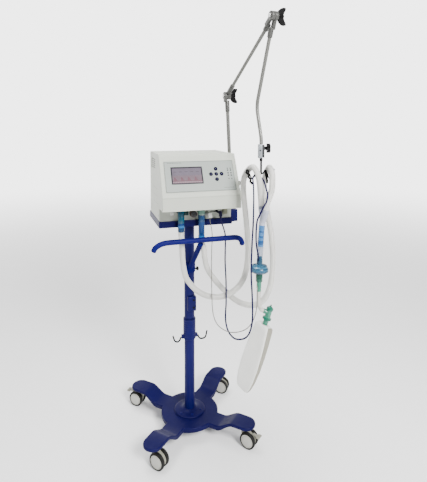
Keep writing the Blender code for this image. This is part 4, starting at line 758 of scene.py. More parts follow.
def castor_shell():
    """The outline of a castor's housing, seen from its side."""
    disc = circle(0.0308, 40, (CASTOR_TRAIL, WHEEL_RADIUS), math.radians(-155), math.radians(205))
    return [*disc, (0.012, 0.0805), (0.010, 0.0815), (-0.009, 0.0815), (-0.011, 0.0800), (-0.011, 0.058)]


def make_castor(code):
    x, y, heading = CASTORS[code]
    pivot = Vector((x, y, 0)) * CASTOR_PIVOT / math.sqrt(2) + Vector((0, 0, FLOOR))
    turn = Matrix.Rotation(math.radians(heading), 3, "Z")
    upright = turn @ facing((0, -1, 0), (1, 0, 0))
    collar_top = ARM_BOTTOM - FLOOR - GAP
    bm = prism(castor_shell(), -0.0074, 0.0074, at=pivot, turn=upright)
    collar = [(0.0, 0.074), (0.012, 0.074), (0.0132, 0.0765), (0.0135, 0.079), (0.0135, 0.086),
              (0.0128, 0.0895), (0.0115, collar_top), (0.0055, collar_top), (0.0, collar_top)]
    turned(collar, 40, bm, pivot)
    lip = circle(0.0300, 40, (CASTOR_TRAIL, WHEEL_RADIUS), math.radians(-120), math.radians(150))
    inside = [(CASTOR_TRAIL + (px - CASTOR_TRAIL) * 0.86, WHEEL_RADIUS + (py - WHEEL_RADIUS) * 0.86)
              for px, py in reversed(lip)]
    for side in (-1, 1):
        prism(lip + inside, side * 0.0070 - 0.0004, side * 0.0070 + 0.0004, bm, pivot, upright)
    piece(f"castor_shell_{code}", bm, CASTOR_SHELL, f"castor_{code}", hides=[f"caster_fork_{code}"],
          soften=(0.0007, 2))
    make_wheels(code, pivot + turn @ Vector((CASTOR_TRAIL, 0, WHEEL_RADIUS)), upright)
    if code in ("bl", "fr"):
        make_pedal(code, pivot + turn @ Vector((PEDAL_HINGE[0], 0, PEDAL_HINGE[1])), turn, upright)


def make_wheels(code, axle_at, upright):
    """A twin wheel: one half's profile from the axle's middle outwards, and its mirror image before it."""
    inner, outer, radius = (TWIN_WIDTH - 2 * WHEEL_WIDTH) / 2, TWIN_WIDTH / 2, WHEEL_RADIUS
    half = [(0.004, 0.0, 2), (0.004, inner, 0), (radius - 0.0030, inner, 0),
            (radius - 0.0008, inner + 0.0012, 0), (radius, inner + 0.0040, 0), (radius, outer - 0.0065, 0),
            (radius - 0.0007, outer - 0.0060, 0), (radius - 0.0007, outer - 0.0052, 0),
            (radius - 0.0003, outer - 0.0046, 0), (radius - 0.0016, outer - 0.0022, 0),
            (radius - 0.0040, outer - 0.0010, 0), (radius - 0.0078, outer - 0.0010, 0),
            (radius - 0.0084, outer - 0.0018, 1), (radius - 0.0090, outer - 0.0018, 1),
            (radius - 0.0096, outer - 0.0006, 1), (radius - 0.0120, outer - 0.0004, 3),
            (radius - 0.0127, outer - 0.0010, 3), (radius - 0.0135, outer - 0.0004, 1),
            (0.0120, outer - 0.0001, 1), (0.0, outer, 1)]
    band_looks = [half[i][2] for i in range(len(half) - 2, -1, -1)]
    mirrored = [(r, -h, band_look) for (r, h, _), band_look in zip(reversed(half), band_looks)]
    piece(f"castor_wheels_{code}", turned(mirrored + half, 64), [RUBBER, CAP, STEEL, CAP_RING],
          f"wheels_{code}", axle_at, upright, [f"caster_wheels_{code}"], sharp=45)


def make_pedal(code, hinge_at, turn, upright):
    bm = turned(rod(0.0040, -0.0068, 0.0068), 24, at=hinge_at, turn=upright)
    block((0.022, 0.0130, 0.005), 0.0012, bm, hinge_at + turn @ Vector((0.011, 0, 0)), turn)
    block((0.018, 0.030, 0.0055), 0.0022, bm, hinge_at + turn @ Vector((0.026, 0, 0)), turn)
    for i in range(4):
        block((0.0016, 0.022, 0.0010), 0.0004, bm, hinge_at + turn @ Vector((0.0200 + 0.004 * i, 0, 0.0028)),
              turn)
    piece(f"castor_pedal_{code}", bm, CASTOR_SHELL, f"brake_{code}", hides=[f"brake_pedal_{code}"])


make_base()
make_column()
make_hook_collar()
make_accessory_clamp()
make_handle()
make_brace()
for castor_code in CASTORS:
    make_castor(castor_code)


# Ventilator

SLOPE_WAY = (SLOPE_FOOT - SLOPE_TOP).normalized()
SLOPE_NORMAL = Vector((0, SLOPE_WAY.z, -SLOPE_WAY.y))
SLOPE_TURN = facing(SLOPE_NORMAL, (1, 0, 0))


def on_slope(x, down, out):
    """A point of the sloping front: across, down the slope from its top edge, and out of it."""
    return Vector((x, SLOPE_TOP.y, SLOPE_TOP.z)) + SLOPE_WAY * down + SLOPE_NORMAL * out


def slope_patch(bm, corners, low, high, look_index=0):
    """A thin plate on the slope with the given (across, down) corners."""
    foot = [bm.verts.new(on_slope(x, y, low)) for x, y in corners]
    head = [bm.verts.new(on_slope(x, y, high)) for x, y in corners]
    bm.faces.new(foot).material_index = look_index
    bm.faces.new(head).material_index = look_index
    join_rings(bm, foot, head, look_index)


def strip(bm, start, end, half_wide, low, high, look_index=0):
    """A thin printed line on the slope between two (across, down) points."""
    ax, ay = start
    bx, by = end
    length = math.hypot(bx - ax, by - ay)
    nx, ny = -(by - ay) / length * half_wide, (bx - ax) / length * half_wide
    corners = [(ax + nx, ay + ny), (bx + nx, by + ny), (bx - nx, by - ny), (ax - nx, ay - ny)]
    slope_patch(bm, corners, low, high, look_index)


def slope_frame(bm, left, right, top, foot, wide, low, high):
    """A flat rectangular ring on the slope."""
    outer = [(left, top), (right, top), (right, foot), (left, foot)]
    inner = [(left + wide, top + wide), (right - wide, top + wide), (right - wide, foot - wide),
             (left + wide, foot - wide)]
    rings = []
    for level, corners in ((low, outer), (high, outer), (high, inner), (low, inner)):
        rings.append([bm.verts.new(on_slope(x, y, level)) for x, y in corners])
    for a, b in zip(rings, rings[1:] + rings[:1]):
        join_rings(bm, a, b)


def make_bezel():
    bm = bmesh.new()
    slope_frame(bm, SCREEN_LEFT, SCREEN_RIGHT, SCREEN_TOP, SCREEN_FOOT, BEZEL_WIDE, GLASS_FACE,
                GLASS_FACE + 0.0009)
    piece("screen_bezel_frame", bm, BEZEL, "root", soften=(0.0003, 2))


def make_screen_picture():
    """The display's shapes: two tinted fields, four pressure peaks and rows of dashes, with no lettering."""
    left, right = SCREEN_LEFT + BEZEL_WIDE, SCREEN_RIGHT - BEZEL_WIDE
    top, foot = SCREEN_TOP + BEZEL_WIDE, SCREEN_FOOT - BEZEL_WIDE
    wide = right - left
    level = GLASS_FACE + PRINT

    def row(share):
        return top + (foot - top) * share

    def dashes(count, first, spacing, long, share, thick, look_index):
        for i in range(count):
            x = left + wide * (first + spacing * i)
            strip(bm, (x, row(share)), (x + wide * long, row(share)), thick, GLASS_FACE, level + 0.0001,
                  look_index)

    bm = bmesh.new()
    for high, low, tint in ((0.50, 0.86, 0), (0.90, 0.985, 1)):
        field = [(left, row(high)), (right, row(high)), (right, row(low)), (left, row(low))]
        slope_patch(bm, field, GLASS_FACE, level, tint)
    dashes(34, 0.2 / 34, 1 / 34, 0.5 / 34, 0.10, 0.0005, 2)
    dashes(40, 0.2 / 40, 1 / 40, 0.5 / 40, 0.42, 0.0006, 2)
    strip(bm, (left, row(0.865)), (right, row(0.865)), 0.0017, GLASS_FACE, level + 0.0002, 3)
    for i in range(4):
        x = left + wide * (0.045 + 0.235 * i)
        peak = [(x - 0.001, row(0.86)), (x + 0.0015, row(0.63)), (x + 0.004, row(0.60)),
                (x + 0.009, row(0.72)), (x + 0.015, row(0.86))]
        slope_patch(bm, peak, GLASS_FACE, level + 0.00015, 4)
        for a, b in zip(peak, peak[1:]):
            strip(bm, a, b, 0.0006, GLASS_FACE, level + 0.0002, 3)
    dashes(12, 0.04, 0.08, 0.045, 0.945, 0.0008, 4)
    dashes(5, 0.05, 0.19, 0.10, 0.25, 0.0007, 5)
    piece("screen_picture", bm, [SCREEN_GLOW, SCREEN_FOOT_PINK, SCREEN_LINE, TRACE, TRACE, BEZEL], "root")


def make_panel_marks():
    """The dark line round the panel, which is painted shade in the groove at its edge, the status lamps, and
    dashes where the real one has lettering.
    """
    bm = bmesh.new()
    # The outline is painted shade of the groove round the panel's edge.
    slope_frame(bm, -PANEL_HALF + 0.0012, PANEL_HALF - 0.0012, PANEL_TOP + 0.0012, PANEL_FOOT - 0.0012,
                0.0011, PANEL_FACE, PANEL_FACE + 0.0002)
    piece("panel_groove_shade", bm, PRINT_AND_GROOVE_SHADE, "root")
    bm = bmesh.new()
    small, large = (0.0026, 1), (0.0034, 0)
    rows = ((0.0720, small), (0.0810, large), (0.0940, large), (0.1050, large), (0.1200, small))
    for x in (0.1265, 0.1395):
        for down, (radius, tone) in rows:
            dome = toned(tone, (0.0, 0.0), (radius, 0.0), (radius * 0.9, 0.0005), (0.0, 0.0008))
            turned(dome, 20, bm, on_slope(x, down, PANEL_FACE), SLOPE_TURN)
            strip(bm, (x - 0.0035, down + 0.0001), (x - 0.0028, down + 0.0001), 0.0006, PANEL_FACE,
                  PANEL_FACE + 0.0001, 1)
    piece("status_lamps", bm, [DOT_DARK, DOT_GREY], "root")
    bm = bmesh.new()
    title_row, note_row = (9, -0.140, 0.0072, 0.0052, 0.0415, 0.0011), (6, 0.100, 0.0075, 0.005, 0.1600,
                                                                        0.0008)
    for count, start, spacing, long, down, thick in (title_row, note_row):
        for i in range(count):
            x = start + spacing * i
            strip(bm, (x, down), (x + long, down), thick, PANEL_FACE, PANEL_FACE + PRINT)
    piece("panel_ticks", bm, PRINT_AND_GROOVE_SHADE, "root")


def make_key(name):
    """A round key: the four outer ones carry an arrow, the middle one a ring."""
    across, down = KEYS[name]
    x, y = KEYS_AT[0] + across * KEY_PITCH, KEYS_AT[1] + down * KEY_PITCH
    radius = KEY_RADIUS
    dome = [(0.0, 0.0012), (radius, 0.0012), (radius, 0.0034), (radius - 0.0003, 0.0040),
            (radius - 0.0009, 0.0044), (radius - 0.0016, 0.0045), (radius * 0.6, 0.0042), (0.0, 0.0040)]
    bm = turned(dome, 48)
    size = 0.0030
    if across or down:
        angle = math.atan2(-down, across)
        prism([dial(size, angle + a) for a in (0, 2.2, -2.2)], 0.0038, 0.0045, bm, look_index=1)
    else:
        turned(toned(1, (0.0020, 0.0039), (0.0032, 0.0039), (0.0032, 0.0046), (0.0020, 0.0046)), 32, bm)
    piece(f"key_cap_{name}", bm, [KEY_NAVY, KEY_MARK], f"key_{name}", on_slope(x, y, 0), SLOPE_TURN,
          [f"key_{name}"])


def make_casing_details():
    bm = bmesh.new()
    # Dark blocks behind the louvres: painted shade inside the casing.
    for i in range(5):
        block((0.0012, 0.112, 0.0036), 0.0004, bm, (-CASE_HALF + 0.0036, 0.026, 1.3030 + 0.0095 * i))
    piece("louvre_backs", bm, DARK_AND_RECESS_SHADE, "root")
    bm = bmesh.new()
    # Rows of dark bars on the side: painted shade in the vent slots.
    for row in range(3):
        for i in range(9):
            at = (-CASE_HALF + 0.0002, -0.085 + 0.0135 * i, 1.150 + 0.032 * row)
            block((0.0008, 0.0105, 0.0016), 0.0003, bm, at)
    piece("side_vent_painted_shade", bm, CASING_SHADE, "root")
    make_casing_screws()
    # A thin dark bar across the nose: painted shade in the crease.
    crease_at = SLOPE_FOOT + Vector((0, -0.0002, -0.004))
    bm = block((2 * COVER_HALF - 0.008, 0.0008, 0.0008), 0.0002, at=crease_at)
    piece("nose_crease", bm, CASING_SHADE, "root")
    bm = turned([(0.0, 0.0), (0.0102, 0.0), (0.0102, 0.0022), (0.0094, 0.0034), (0.0070, 0.0046),
                 (0.0, 0.0049)], 40)
    piece("side_guard", bm, DARK_AND_RECESS_SHADE, "root", (COVER_HALF, -0.222, 1.246), facing((1, 0, 0)))


def make_casing_screws():
    bm = bmesh.new()
    screw = [(0.0, 0.0), (0.0040, 0.0), (0.0040, 0.0008), (0.0032, 0.0016), (0.0014, 0.0016),
             (0.0012, 0.0006), (0.0, 0.0006)]
    for side in (-1, 1):
        for y in (0.095, -0.110):
            for z in (1.350, 1.100):
                turned(screw, 24, bm, (side * CASE_HALF, y, z), facing((side, 0, 0)))
    screw = [(0.0, 0.0), (0.0040, 0.0), (0.0040, 0.0003), (0.0030, 0.0006), (0.0, 0.0006)]
    for z in (1.345, 1.085):
        for x in (-0.145, 0.145):
            turned(screw, 24, bm, (x, 0.118, z), facing((0, 1, 0)))
    piece("casing_screws", bm, STEEL, "root")


def make_lower_front_details():
    """The small parts on the casing under the front cover that have no node of their own."""
    bm = block((0.018, 0.014, 0.026), 0.002, at=(-0.046, LOWER_FRONT_Y - GAP - 0.007, 1.1135))
    turned(rod(0.0045, 0.0, 0.012), 24, bm, (-0.046, LOWER_FRONT_Y - 0.014, 1.110), facing((0, -1, 0)))
    piece("teal_latch", bm, TEAL_DARK, "root")
    bm = block((0.020, 0.022, 0.028), 0.0015, at=(0.131, LOWER_FRONT_Y - GAP - 0.011, 1.112))
    block((0.014, 0.002, 0.020), 0.0005, bm, (0.131, LOWER_FRONT_Y - 0.0235, 1.112))
    piece("cream_connector", bm, CREAM, "root")
    # Thin dark strips under the front cover: painted shade in the slots.
    bm = block((0.046, 0.0012, 0.0035), 0.0003, at=(-0.118, LOWER_FRONT_Y - 0.0008, 1.126))
    block((0.030, 0.0012, 0.0030), 0.0003, bm, (0.078, LOWER_FRONT_Y - 0.0008, 1.108))
    piece("port_slots", bm, DARK_AND_RECESS_SHADE, "root")


def make_port(name, place, looks):
    """A gas port: a spigot that points down, and the stub that carries it from the casing."""
    x, y = place
    profile = [(0.0, 1.088), (SPIGOT_RADIUS - 0.001, 1.088), (SPIGOT_RADIUS, 1.089),
               (SPIGOT_RADIUS, 1.1065, 1), (0.0148, 1.1070, 1), (0.0150, 1.1080), (0.0150, 1.1120),
               (0.0144, 1.1126), (0.0144, 1.1142), (0.0150, 1.1148), (0.0150, 1.1245), (0.0140, 1.1285),
               (0.0120, 1.1318), (0.0, 1.1340)]
    bm = turned(profile, 48)
    long = -y + LOWER_FRONT_Y - GAP
    stub = [(0.0, 0.0), (0.0123, 0.0), (0.0123, long - 0.006), (0.0125, long - 0.005), (0.0125, long),
            (0.0, long)]
    turned(stub, 40, bm, (0, 0, 1.1195), facing((0, 1, 0)))
    piece(f"{name}_body", bm, looks, "root", (x, y, 0), None, [name])


def make_cuff(name, place, low, looks):
    """A hose cuff on its port's spigot: a smooth grip below, ribs in the middle, a collar above."""
    x, y = place
    bore, shoulder, collar, ribs = SPIGOT_RADIUS + GAP, CUFF_RADIUS - 0.0012, 1.075, 6
    profile = toned(0, (bore, low), (shoulder, low), (CUFF_RADIUS - 0.0003, low + 0.001),
                    (CUFF_RADIUS, low + 0.003))
    # Look 1 starts at the shoulder; on the left cuff this pale band is a painted highlight ring.
    profile += toned(1, (CUFF_RADIUS, low + 0.0195), (CUFF_RADIUS - 0.0003, low + 0.0225),
                     (shoulder, low + 0.0245))
    start = low + 0.027
    wide = (collar - 0.001 - start) / ribs
    for i in range(ribs):
        z = start + wide * i
        rib = (shoulder, z), (shoulder + 0.0006, z + wide * 0.35), (shoulder + 0.0006, z + wide * 0.6)
        profile += toned(1 if i == 0 else 2, *rib)
    profile += toned(3, (shoulder, collar), (CUFF_RADIUS, 1.0785), (CUFF_RADIUS, 1.1045), (shoulder, 1.1065),
                     (bore, 1.1065))
    piece(f"{name}_sleeve", turned(profile, 48), looks, "root", (x, y, 0), None, [name])


def make_valve():
    valve = [(0.0, 0.0), (0.012, 0.0), (0.012, 0.004), (0.0112, 0.005), (0.0112, 0.018), (0.0135, 0.0205),
             (0.0155, 0.022), (0.0155, 0.025), (0.0148, 0.026), (0.0148, 0.030), (0.0155, 0.031),
             (0.0155, 0.034), (0.0130, 0.037, 1), (0.0060, 0.0376, 1), (0.0050, 0.0360, 1), (0.0, 0.0360, 1)]
    piece("valve_body", turned(valve, 48), [BROWN, DARK], "root", (-0.019, LOWER_FRONT_Y - GAP, 1.1085),
          facing((0, -1, 0)), ["exhalation_valve"])


def make_relief_knob():
    knob = [(0.0, -0.023), (0.0056, -0.023), (0.0072, -0.0215), (0.0075, -0.0195), (0.0075, -0.0105),
            (0.0068, -0.0090), (0.0050, -0.0075), (0.0050, -GAP), (0.0, -GAP)]
    bm = turned(knob, 40)
    for i in range(14):
        way = math.tau * i / 14
        block((0.0014, 0.0014, 0.009), 0.0004, bm, (*dial(0.0072, way), -0.015), Matrix.Rotation(way, 3, "Z"))
    piece("relief_knob_grip", bm, WHITE, "relief_knob", (-0.123, -0.200, OVERHANG_Z), None, ["relief_knob"])


def make_sample_port():
    x, face, z = SAMPLE_PORT_X, LOWER_FRONT_Y - GAP, 1.104
    gland = [(0.0, 0.0), (0.0070, 0.0), (0.0070, 0.010), (0.0064, 0.011), (0.0064, 0.030), (0.0055, 0.036),
             (0.0045, 0.040), (0.0, 0.040)]
    bm = turned(gland, 32, at=(x, face, z), turn=facing((0, -1, 0)))
    block((0.016, 0.022, 0.022), 0.0030, bm, (x, face - 0.047, z))
    nipple = [(0.0, 1.0919), (0.0026, 1.0919), (0.0030, 1.0935), (0.0030, 1.100), (0.0, 1.100)]
    turned(nipple, 24, bm, (x, -0.1815, 0))
    piece("sample_port_body", bm, WHITE, "root", hides=["sample_port"])


def make_sensor_plug():
    plug = [(0.0, 1.0873), (0.0040, 1.0873), (0.0043, 1.0890), (0.0040, 1.0900), (0.0046, 1.0920),
            (0.0043, 1.0932), (0.0050, 1.0960), (0.0070, 1.0982), (0.0075, 1.1000), (0.0075, 1.1060),
            (0.0070, 1.1066), (0.0070, 1.1086), (0.0075, 1.1092), (0.0075, 1.1178), (0.0068, 1.1204),
            (0.0055, 1.1215), (0.0, 1.1215)]
    axis = Vector((0.096, -0.191, 0))
    bm = turned(plug, 36, at=axis)
    stub = rod(0.0055, 0.0, -axis.y + LOWER_FRONT_Y - GAP)
    turned(stub, 32, bm, axis + Vector((0, 0, 1.110)), facing((0, 1, 0)))
    piece("sensor_plug_body", bm, CABLE_DARK, "root", hides=["sensor_plug"])


make_bezel()
make_screen_picture()
make_panel_marks()
for key_name in KEYS:
    make_key(key_name)
make_casing_details()
make_lower_front_details()
make_port("inspiratory_port", LEFT_PORT, [TEAL, TEAL_DARK])
make_port("expiratory_port", RIGHT_PORT, [PALE_GREEN, WHITE])
# The left cuff's second look, the pale shoulder band, is a painted highlight.
make_cuff("cuff_left", LEFT_PORT, 1.036, [CUFF_DEEP, CUFF_PALE_AND_HIGHLIGHT, CUFF, TEAL])
make_cuff("cuff_right", RIGHT_PORT, 0.995, [CUFF_PALE_AND_HIGHLIGHT, CUFF, CUFF, CUFF_DEEP])
make_valve()
make_relief_knob()
make_sample_port()
make_sensor_plug()


# Circuit arm

def toothed(bm, at, turn, radius, low, high):
    """A round plate whose rim has fine teeth."""
    teeth, depth = 36, 0.0005
    outline = [dial(radius - (depth if i % 2 else 0.0), math.tau * i / (teeth * 2)) for i in range(teeth * 2)]
    prism(outline, low, high, bm, at, turn, look_index=1)


def knuckle(bm, at, away, offset, neck):
    """A round hinge plate beside the joint's centre, with the neck that carries it."""
    centre = at + HINGE_WAY * offset
    half = KNUCKLE_THICK / 2
    turn = facing(HINGE_WAY, away)
    radius = KNUCKLE_RADIUS
    side = 1 if offset > 0 else -1
    rim = [(radius - 0.0014, half), (radius - 0.0003, half - 0.0006), (radius, half - 0.0016)]
    disc = toned(1, (0.0, -half), *[(r, -h) for r, h in rim], *reversed(rim), (0.0, half))
    turned(disc, 56, bm, centre, turn)
    toothed(bm, centre - HINGE_WAY * side * (half - 0.0012), turn, radius, -0.0011, 0.0011)
    size = (neck + 0.003, 0.018, KNUCKLE_THICK - 0.001)
    block(size, 0.003, bm, centre + turn @ Vector((0.005 + size[0] / 2, 0, 0)), turn, 1)


def sleeve(bm, start, end):
    """The cast sleeve that holds a tube's end, with a groove near its mouth."""
    way, radius = end - start, SLEEVE_RADIUS
    long = way.length
    profile = toned(1, (0.0, 0.0), (radius - 0.0018, 0.0), (radius - 0.0005, 0.0006), (radius, 0.002),
                    (radius, long - 0.008), (radius - 0.0006, long - 0.0072),
                    (radius - 0.0006, long - 0.0058), (radius, long - 0.0050), (radius, long - 0.0016),
                    (radius - 0.0010, long), (0.0, long))
    turned(profile, 40, bm, start, facing(way))


def make_arm_post():
    post_way = (ELBOW - POST_FOOT).normalized()
    long = (ELBOW - POST_FOOT).length
    turn = facing(post_way)
    bm = turned(rod(POST_RADIUS + 0.0005, 0.0, long - 0.030, edge=0.0008), 40, at=POST_FOOT, turn=turn)
    collar = toned(1, (POST_RADIUS, 0.0660), (0.0112, 0.0660), (0.0125, 0.0672), (0.0125, 0.0748),
                   (0.0112, 0.0760), (POST_RADIUS, 0.0760))
    turned(collar, 40, bm, POST_FOOT, turn)
    sleeve(bm, ELBOW - post_way * ELBOW_NECK, ELBOW - post_way * SLEEVE_END)
    knuckle(bm, ELBOW, -post_way, -KNUCKLE_OFFSET, ELBOW_NECK)
    piece("arm_post_tube", bm, [TUBE, FITTING], "arm_post", hides=["arm_post"])


def make_arm_link():
    link_way = (ARM_TIP - ELBOW).normalized()
    span = (ARM_TIP - ELBOW).length
    bm = turned(rod(LINK_RADIUS + 0.0007, 0.030, span - 0.050, edge=0.0008), 40, at=ELBOW,
                turn=facing(link_way))
    sleeve(bm, ELBOW + link_way * ELBOW_NECK, ELBOW + link_way * SLEEVE_END)
    sleeve(bm, ARM_TIP - link_way * TIP_NECK, ARM_TIP - link_way * SLEEVE_END)
    knuckle(bm, ELBOW, link_way, KNUCKLE_OFFSET, ELBOW_NECK)
    knuckle(bm, ARM_TIP, -link_way, -KNUCKLE_OFFSET, TIP_NECK)
    piece("arm_link_tube", bm, [TUBE, FITTING], "arm_link", hides=["arm_link"])


def make_arm_drop():
    """The bent tube: stations are (distance out along the arm's reach, height)."""
    stations = [(0.010, 1.892), (0.1165, 1.603), (0.1205, 1.580), (0.1190, 1.555), (0.108, 1.515),
                (0.096, 1.475), (0.089, 1.448), (0.087, 1.430), (0.087, BLOCK_TOP + GAP)]
    route = [ARM_TIP - REACH_WAY * s + Vector((0, 0, z - ARM_TIP.z)) for s, z in stations]
    drop_way = (route[1] - ARM_TIP).normalized()
    route[0] = ARM_TIP + drop_way * 0.050
    bm = bar(route[:1] + smooth_route(route[1:], 0.006), 0.0075, 36)
    sleeve(bm, ARM_TIP + drop_way * TIP_NECK, ARM_TIP + drop_way * (SLEEVE_END + 0.008))
    knuckle(bm, ARM_TIP, drop_way, KNUCKLE_OFFSET, TIP_NECK)
    piece("arm_drop_tube", bm, [TUBE, FITTING], "arm_drop", hides=["arm_drop"])


def make_wing_knob(name, at, body):
    """A two-winged tightening knob, with the bolt that goes through both knuckles to a nut."""
    turn = facing(HINGE_WAY, (0, 0, 1))
    face = KNUCKLE_OFFSET + KNUCKLE_THICK / 2 + GAP
    nut = toned(1, (0.0, -face - 0.005), (0.0060, -face - 0.005), (0.0075, -face - 0.0038), (0.0075, -face),
                (0.004, -face))
    hub = [(0.004, face), (0.0085, face), (0.0085, face + 0.004), (0.0084, face + 0.010),
           (0.0080, face + 0.0275), (0.0060, face + 0.029), (0.0, face + 0.029)]
    bm = turned(nut + hub, 40)
    wing = [(0.006, face + 0.001), (0.014, face + 0.0025), (0.024, face + 0.0085), (0.0315, face + 0.0180),
            (0.0346, face + 0.0260), (0.0346, face + 0.0340), (0.0330, face + 0.0375),
            (0.0290, face + 0.0382), (0.0240, face + 0.0365), (0.0150, face + 0.0310), (0.008, face + 0.0285),
            (0.004, face + 0.0280)]
    outline = wing + [(-x, z) for x, z in reversed(wing)]
    flat = Matrix(((1, 0, 0), (0, 0, -1), (0, 1, 0)))
    prism(outline, -0.0052, 0.0052, bm, turn=flat)
    for side in (-1, 1):
        block((0.0050, 0.0112, 0.0060), 0.0018, bm, (side * 0.0300, 0, face + 0.0320))
    piece(f"{name}_wing", bm, [BLACK, BRIGHT], body, at, turn, [name], soften=(0.0011, 3))


def make_clamp():
    centre = HANGER_AT + Vector((0, 0, (BLOCK_TOP + BLOCK_BOTTOM) / 2))
    turn = facing((0, 0, 1), HANGER_ACROSS)
    tall = BLOCK_TOP - BLOCK_BOTTOM
    bm = block((0.0175, 0.0218, tall), 0.0022, at=(-0.00425, 0, 0))
    block((0.0085, 0.0200, tall - 0.004), 0.0015, bm, (0.00875, 0, 0), None, 1)
    front = facing((0, -1, 0), (1, 0, 0))
    screw_at, pin_at = (-0.0045, -0.0105, 0.0030), (-0.0045, -0.0105, -0.0190)
    ring = [(0.0036, 0.0), (0.0062, 0.0), (0.0062, 0.0008), (0.0054, 0.0014), (0.0042, 0.0014),
            (0.0036, 0.0008)]
    turned(ring, 40, bm, screw_at, front)
    turned(toned(1, (0.0, 0.0), (0.0034, 0.0), (0.0030, 0.0008), (0.0, 0.0010)), 32, bm, screw_at, front)
    ring = [(0.0022, 0.0), (0.0038, 0.0), (0.0038, 0.0008), (0.0030, 0.0012), (0.0022, 0.0008)]
    turned(ring, 32, bm, pin_at, front)
    turned(toned(1, (0.0, 0.0), (0.0021, 0.0), (0.0, 0.0008)), 24, bm, pin_at, front)
    piece("clamp_block_body", bm, [CLAMP, DARK], "arm_drop", centre, turn, ["clamp_block"])
    make_star_knob(centre + HANGER_ACROSS * 0.0133 + Vector((0, 0, 0.012)))


def make_star_knob(at):
    """The clamp's five-lobed knob, on a short boss."""
    profile = [(0.0, 0.0), (0.0075, 0.0), (0.0072, 0.003), (0.0085, 0.008), (0.0085, 0.010), (0.0, 0.010)]
    bm = turned(profile, 40)
    angles = [math.tau * i / 100 for i in range(100)]
    prism([dial(0.0168 + 0.0032 * math.cos(5 * angle), angle) for angle in angles], 0.009, 0.024, bm)
    turned([(0.0, 0.0235), (0.0058, 0.0235), (0.0050, 0.0240), (0.0, 0.0242)], 32, bm)
    piece("clamp_knob_star", bm, BLACK, "clamp_knob", at, facing(HANGER_ACROSS), ["clamp_knob"],
          soften=(0.0012, 3))


def hanger_point(across, z, away=0.0):
    """A point beside the hanger's rod: across it, its height, and away from the front."""
    return HANGER_AT + HANGER_ACROSS * across + HANGER_AWAY * away + Vector((0, 0, z))


def make_hanger():
    """The rod under the clamp block, the strip with two V notches that hold the hoses, and its two clips."""
    bm = turned(rod(0.0045, 1.298, 1.398), 32, at=HANGER_AT)
    bead = [(0.0, 1.352), (0.0058, 1.352), (0.0065, 1.3528), (0.0065, 1.3626), (0.0058, 1.3634),
            (0.0, 1.3634)]
    turned(bead, 32, bm, HANGER_AT)
    strip_points = [(-0.058, 1.318), (-0.053, 1.311), (-0.0435, 1.290), (-0.0355, 1.277), (-0.028, 1.291),
                    (-0.020, 1.312), (-0.0165, 1.316), (-0.009, 1.303), (0.0, 1.298), (0.009, 1.303),
                    (0.0165, 1.316), (0.020, 1.312), (0.028, 1.291), (0.035, 1.278), (0.042, 1.291),
                    (0.050, 1.312), (0.055, 1.319)]
    flat = [(-0.0052, -0.0022), (-0.0044, -0.0030), (0.0044, -0.0030), (0.0052, -0.0022), (0.0052, 0.0022),
            (0.0044, 0.0030), (-0.0044, 0.0030), (-0.0052, 0.0022)]
    swept([hanger_point(x, z) for x, z in strip_points], flat, side=HANGER_AWAY, bm=bm)
    clip = [(-0.0570, 1.3170, -0.002), (-0.0610, 1.3060, -0.006), (-0.0510, 1.2970, -0.013),
            (-0.0530, 1.2880, -0.019), (-0.0445, 1.2800, -0.024), (-0.0465, 1.2710, -0.028),
            (-0.0375, 1.2620, -0.033)]
    bar([hanger_point(x, z, away) for x, z, away in clip], 0.0050, 20, 0.001, bm)
    prong = [(0.0185, 1.313, 0.0), (0.0205, 1.296, -0.002), (0.0235, 1.280, -0.004), (0.0250, 1.262, -0.006)]
    bar(smooth_route([hanger_point(x, z, away) for x, z, away in prong], 0.004), 0.0048, 20, 0.0015, bm)
    piece("hanger_frame", bm, BLACK, "hanger", hides=["hose_hanger"])


make_arm_post()
make_arm_link()
make_arm_drop()
make_wing_knob("arm_knob_lower", ELBOW, "knob_lower")
make_wing_knob("arm_knob_upper", ARM_TIP, "knob_upper")
make_clamp()
make_hanger()


# Circuit fittings and test lung

def ringed_tube(bm, route, radius, sides, rings, ripple=0.0008):
    """A fitting's tube along a route. rings are (share, look): the look from that share of the length on."""
    total = len(route) - 1
    scales, looks = [], []
    for i in range(len(route)):
        share = i / total
        tone = 0
        for start, index in rings:
            if share >= start:
                tone = index
        near = min(abs(share - start) for start, _ in rings) * total
        scales.append(1.0 - (ripple / radius) * max(0.0, 1.0 - near / 1.5))
        looks.append(tone)
    return swept(route, circle(radius, sides), scales=scales, bm=bm, looks=looks)


def make_y_piece():
    """The Y-piece: two branches from the hoses into one banded trunk, with a cuff round each hose's end."""
    foot = Y_FOOT + Vector((0, 0, 0.0010))
    trunk = smooth_route([Y_LEFT, Y_LEFT + Y_LEFT_WAY * 0.014, Y_JOIN, (0.193, -0.4215, 1.100), foot], 0.002)
    bands = [(0.0, 0), (0.14, 0), (0.38, 1), (0.50, 2), (0.53, 1), (0.60, 2), (0.63, 1), (0.69, 2), (0.77, 1),
             (0.81, 3)]
    bm = ringed_tube(None, trunk, 0.0122, 40, bands, 0.0011)
    branch = smooth_route([Y_RIGHT, Y_RIGHT + Y_RIGHT_WAY * 0.014, (0.1955, -0.4225, 1.118)], 0.002)
    ringed_tube(bm, branch, 0.0121, 40, [(0.0, 0), (0.30, 0)], 0.0011)
    cuff = toned(3, (0.0, 0.0003), (0.0119, 0.0003), (0.0124, 0.001), (0.0124, 0.010), (0.0119, 0.012),
                 (0.0, 0.012))
    for where, way in ((Y_LEFT, Y_LEFT_WAY), (Y_RIGHT, Y_RIGHT_WAY)):
        turned(cuff, 40, bm, where, facing(way))
    piece("y_piece_body", bm, [WYE_WHITE, WYE_PALE, WYE_BLUE, WYE_CLEAR], "hanger", hides=["y_piece"])


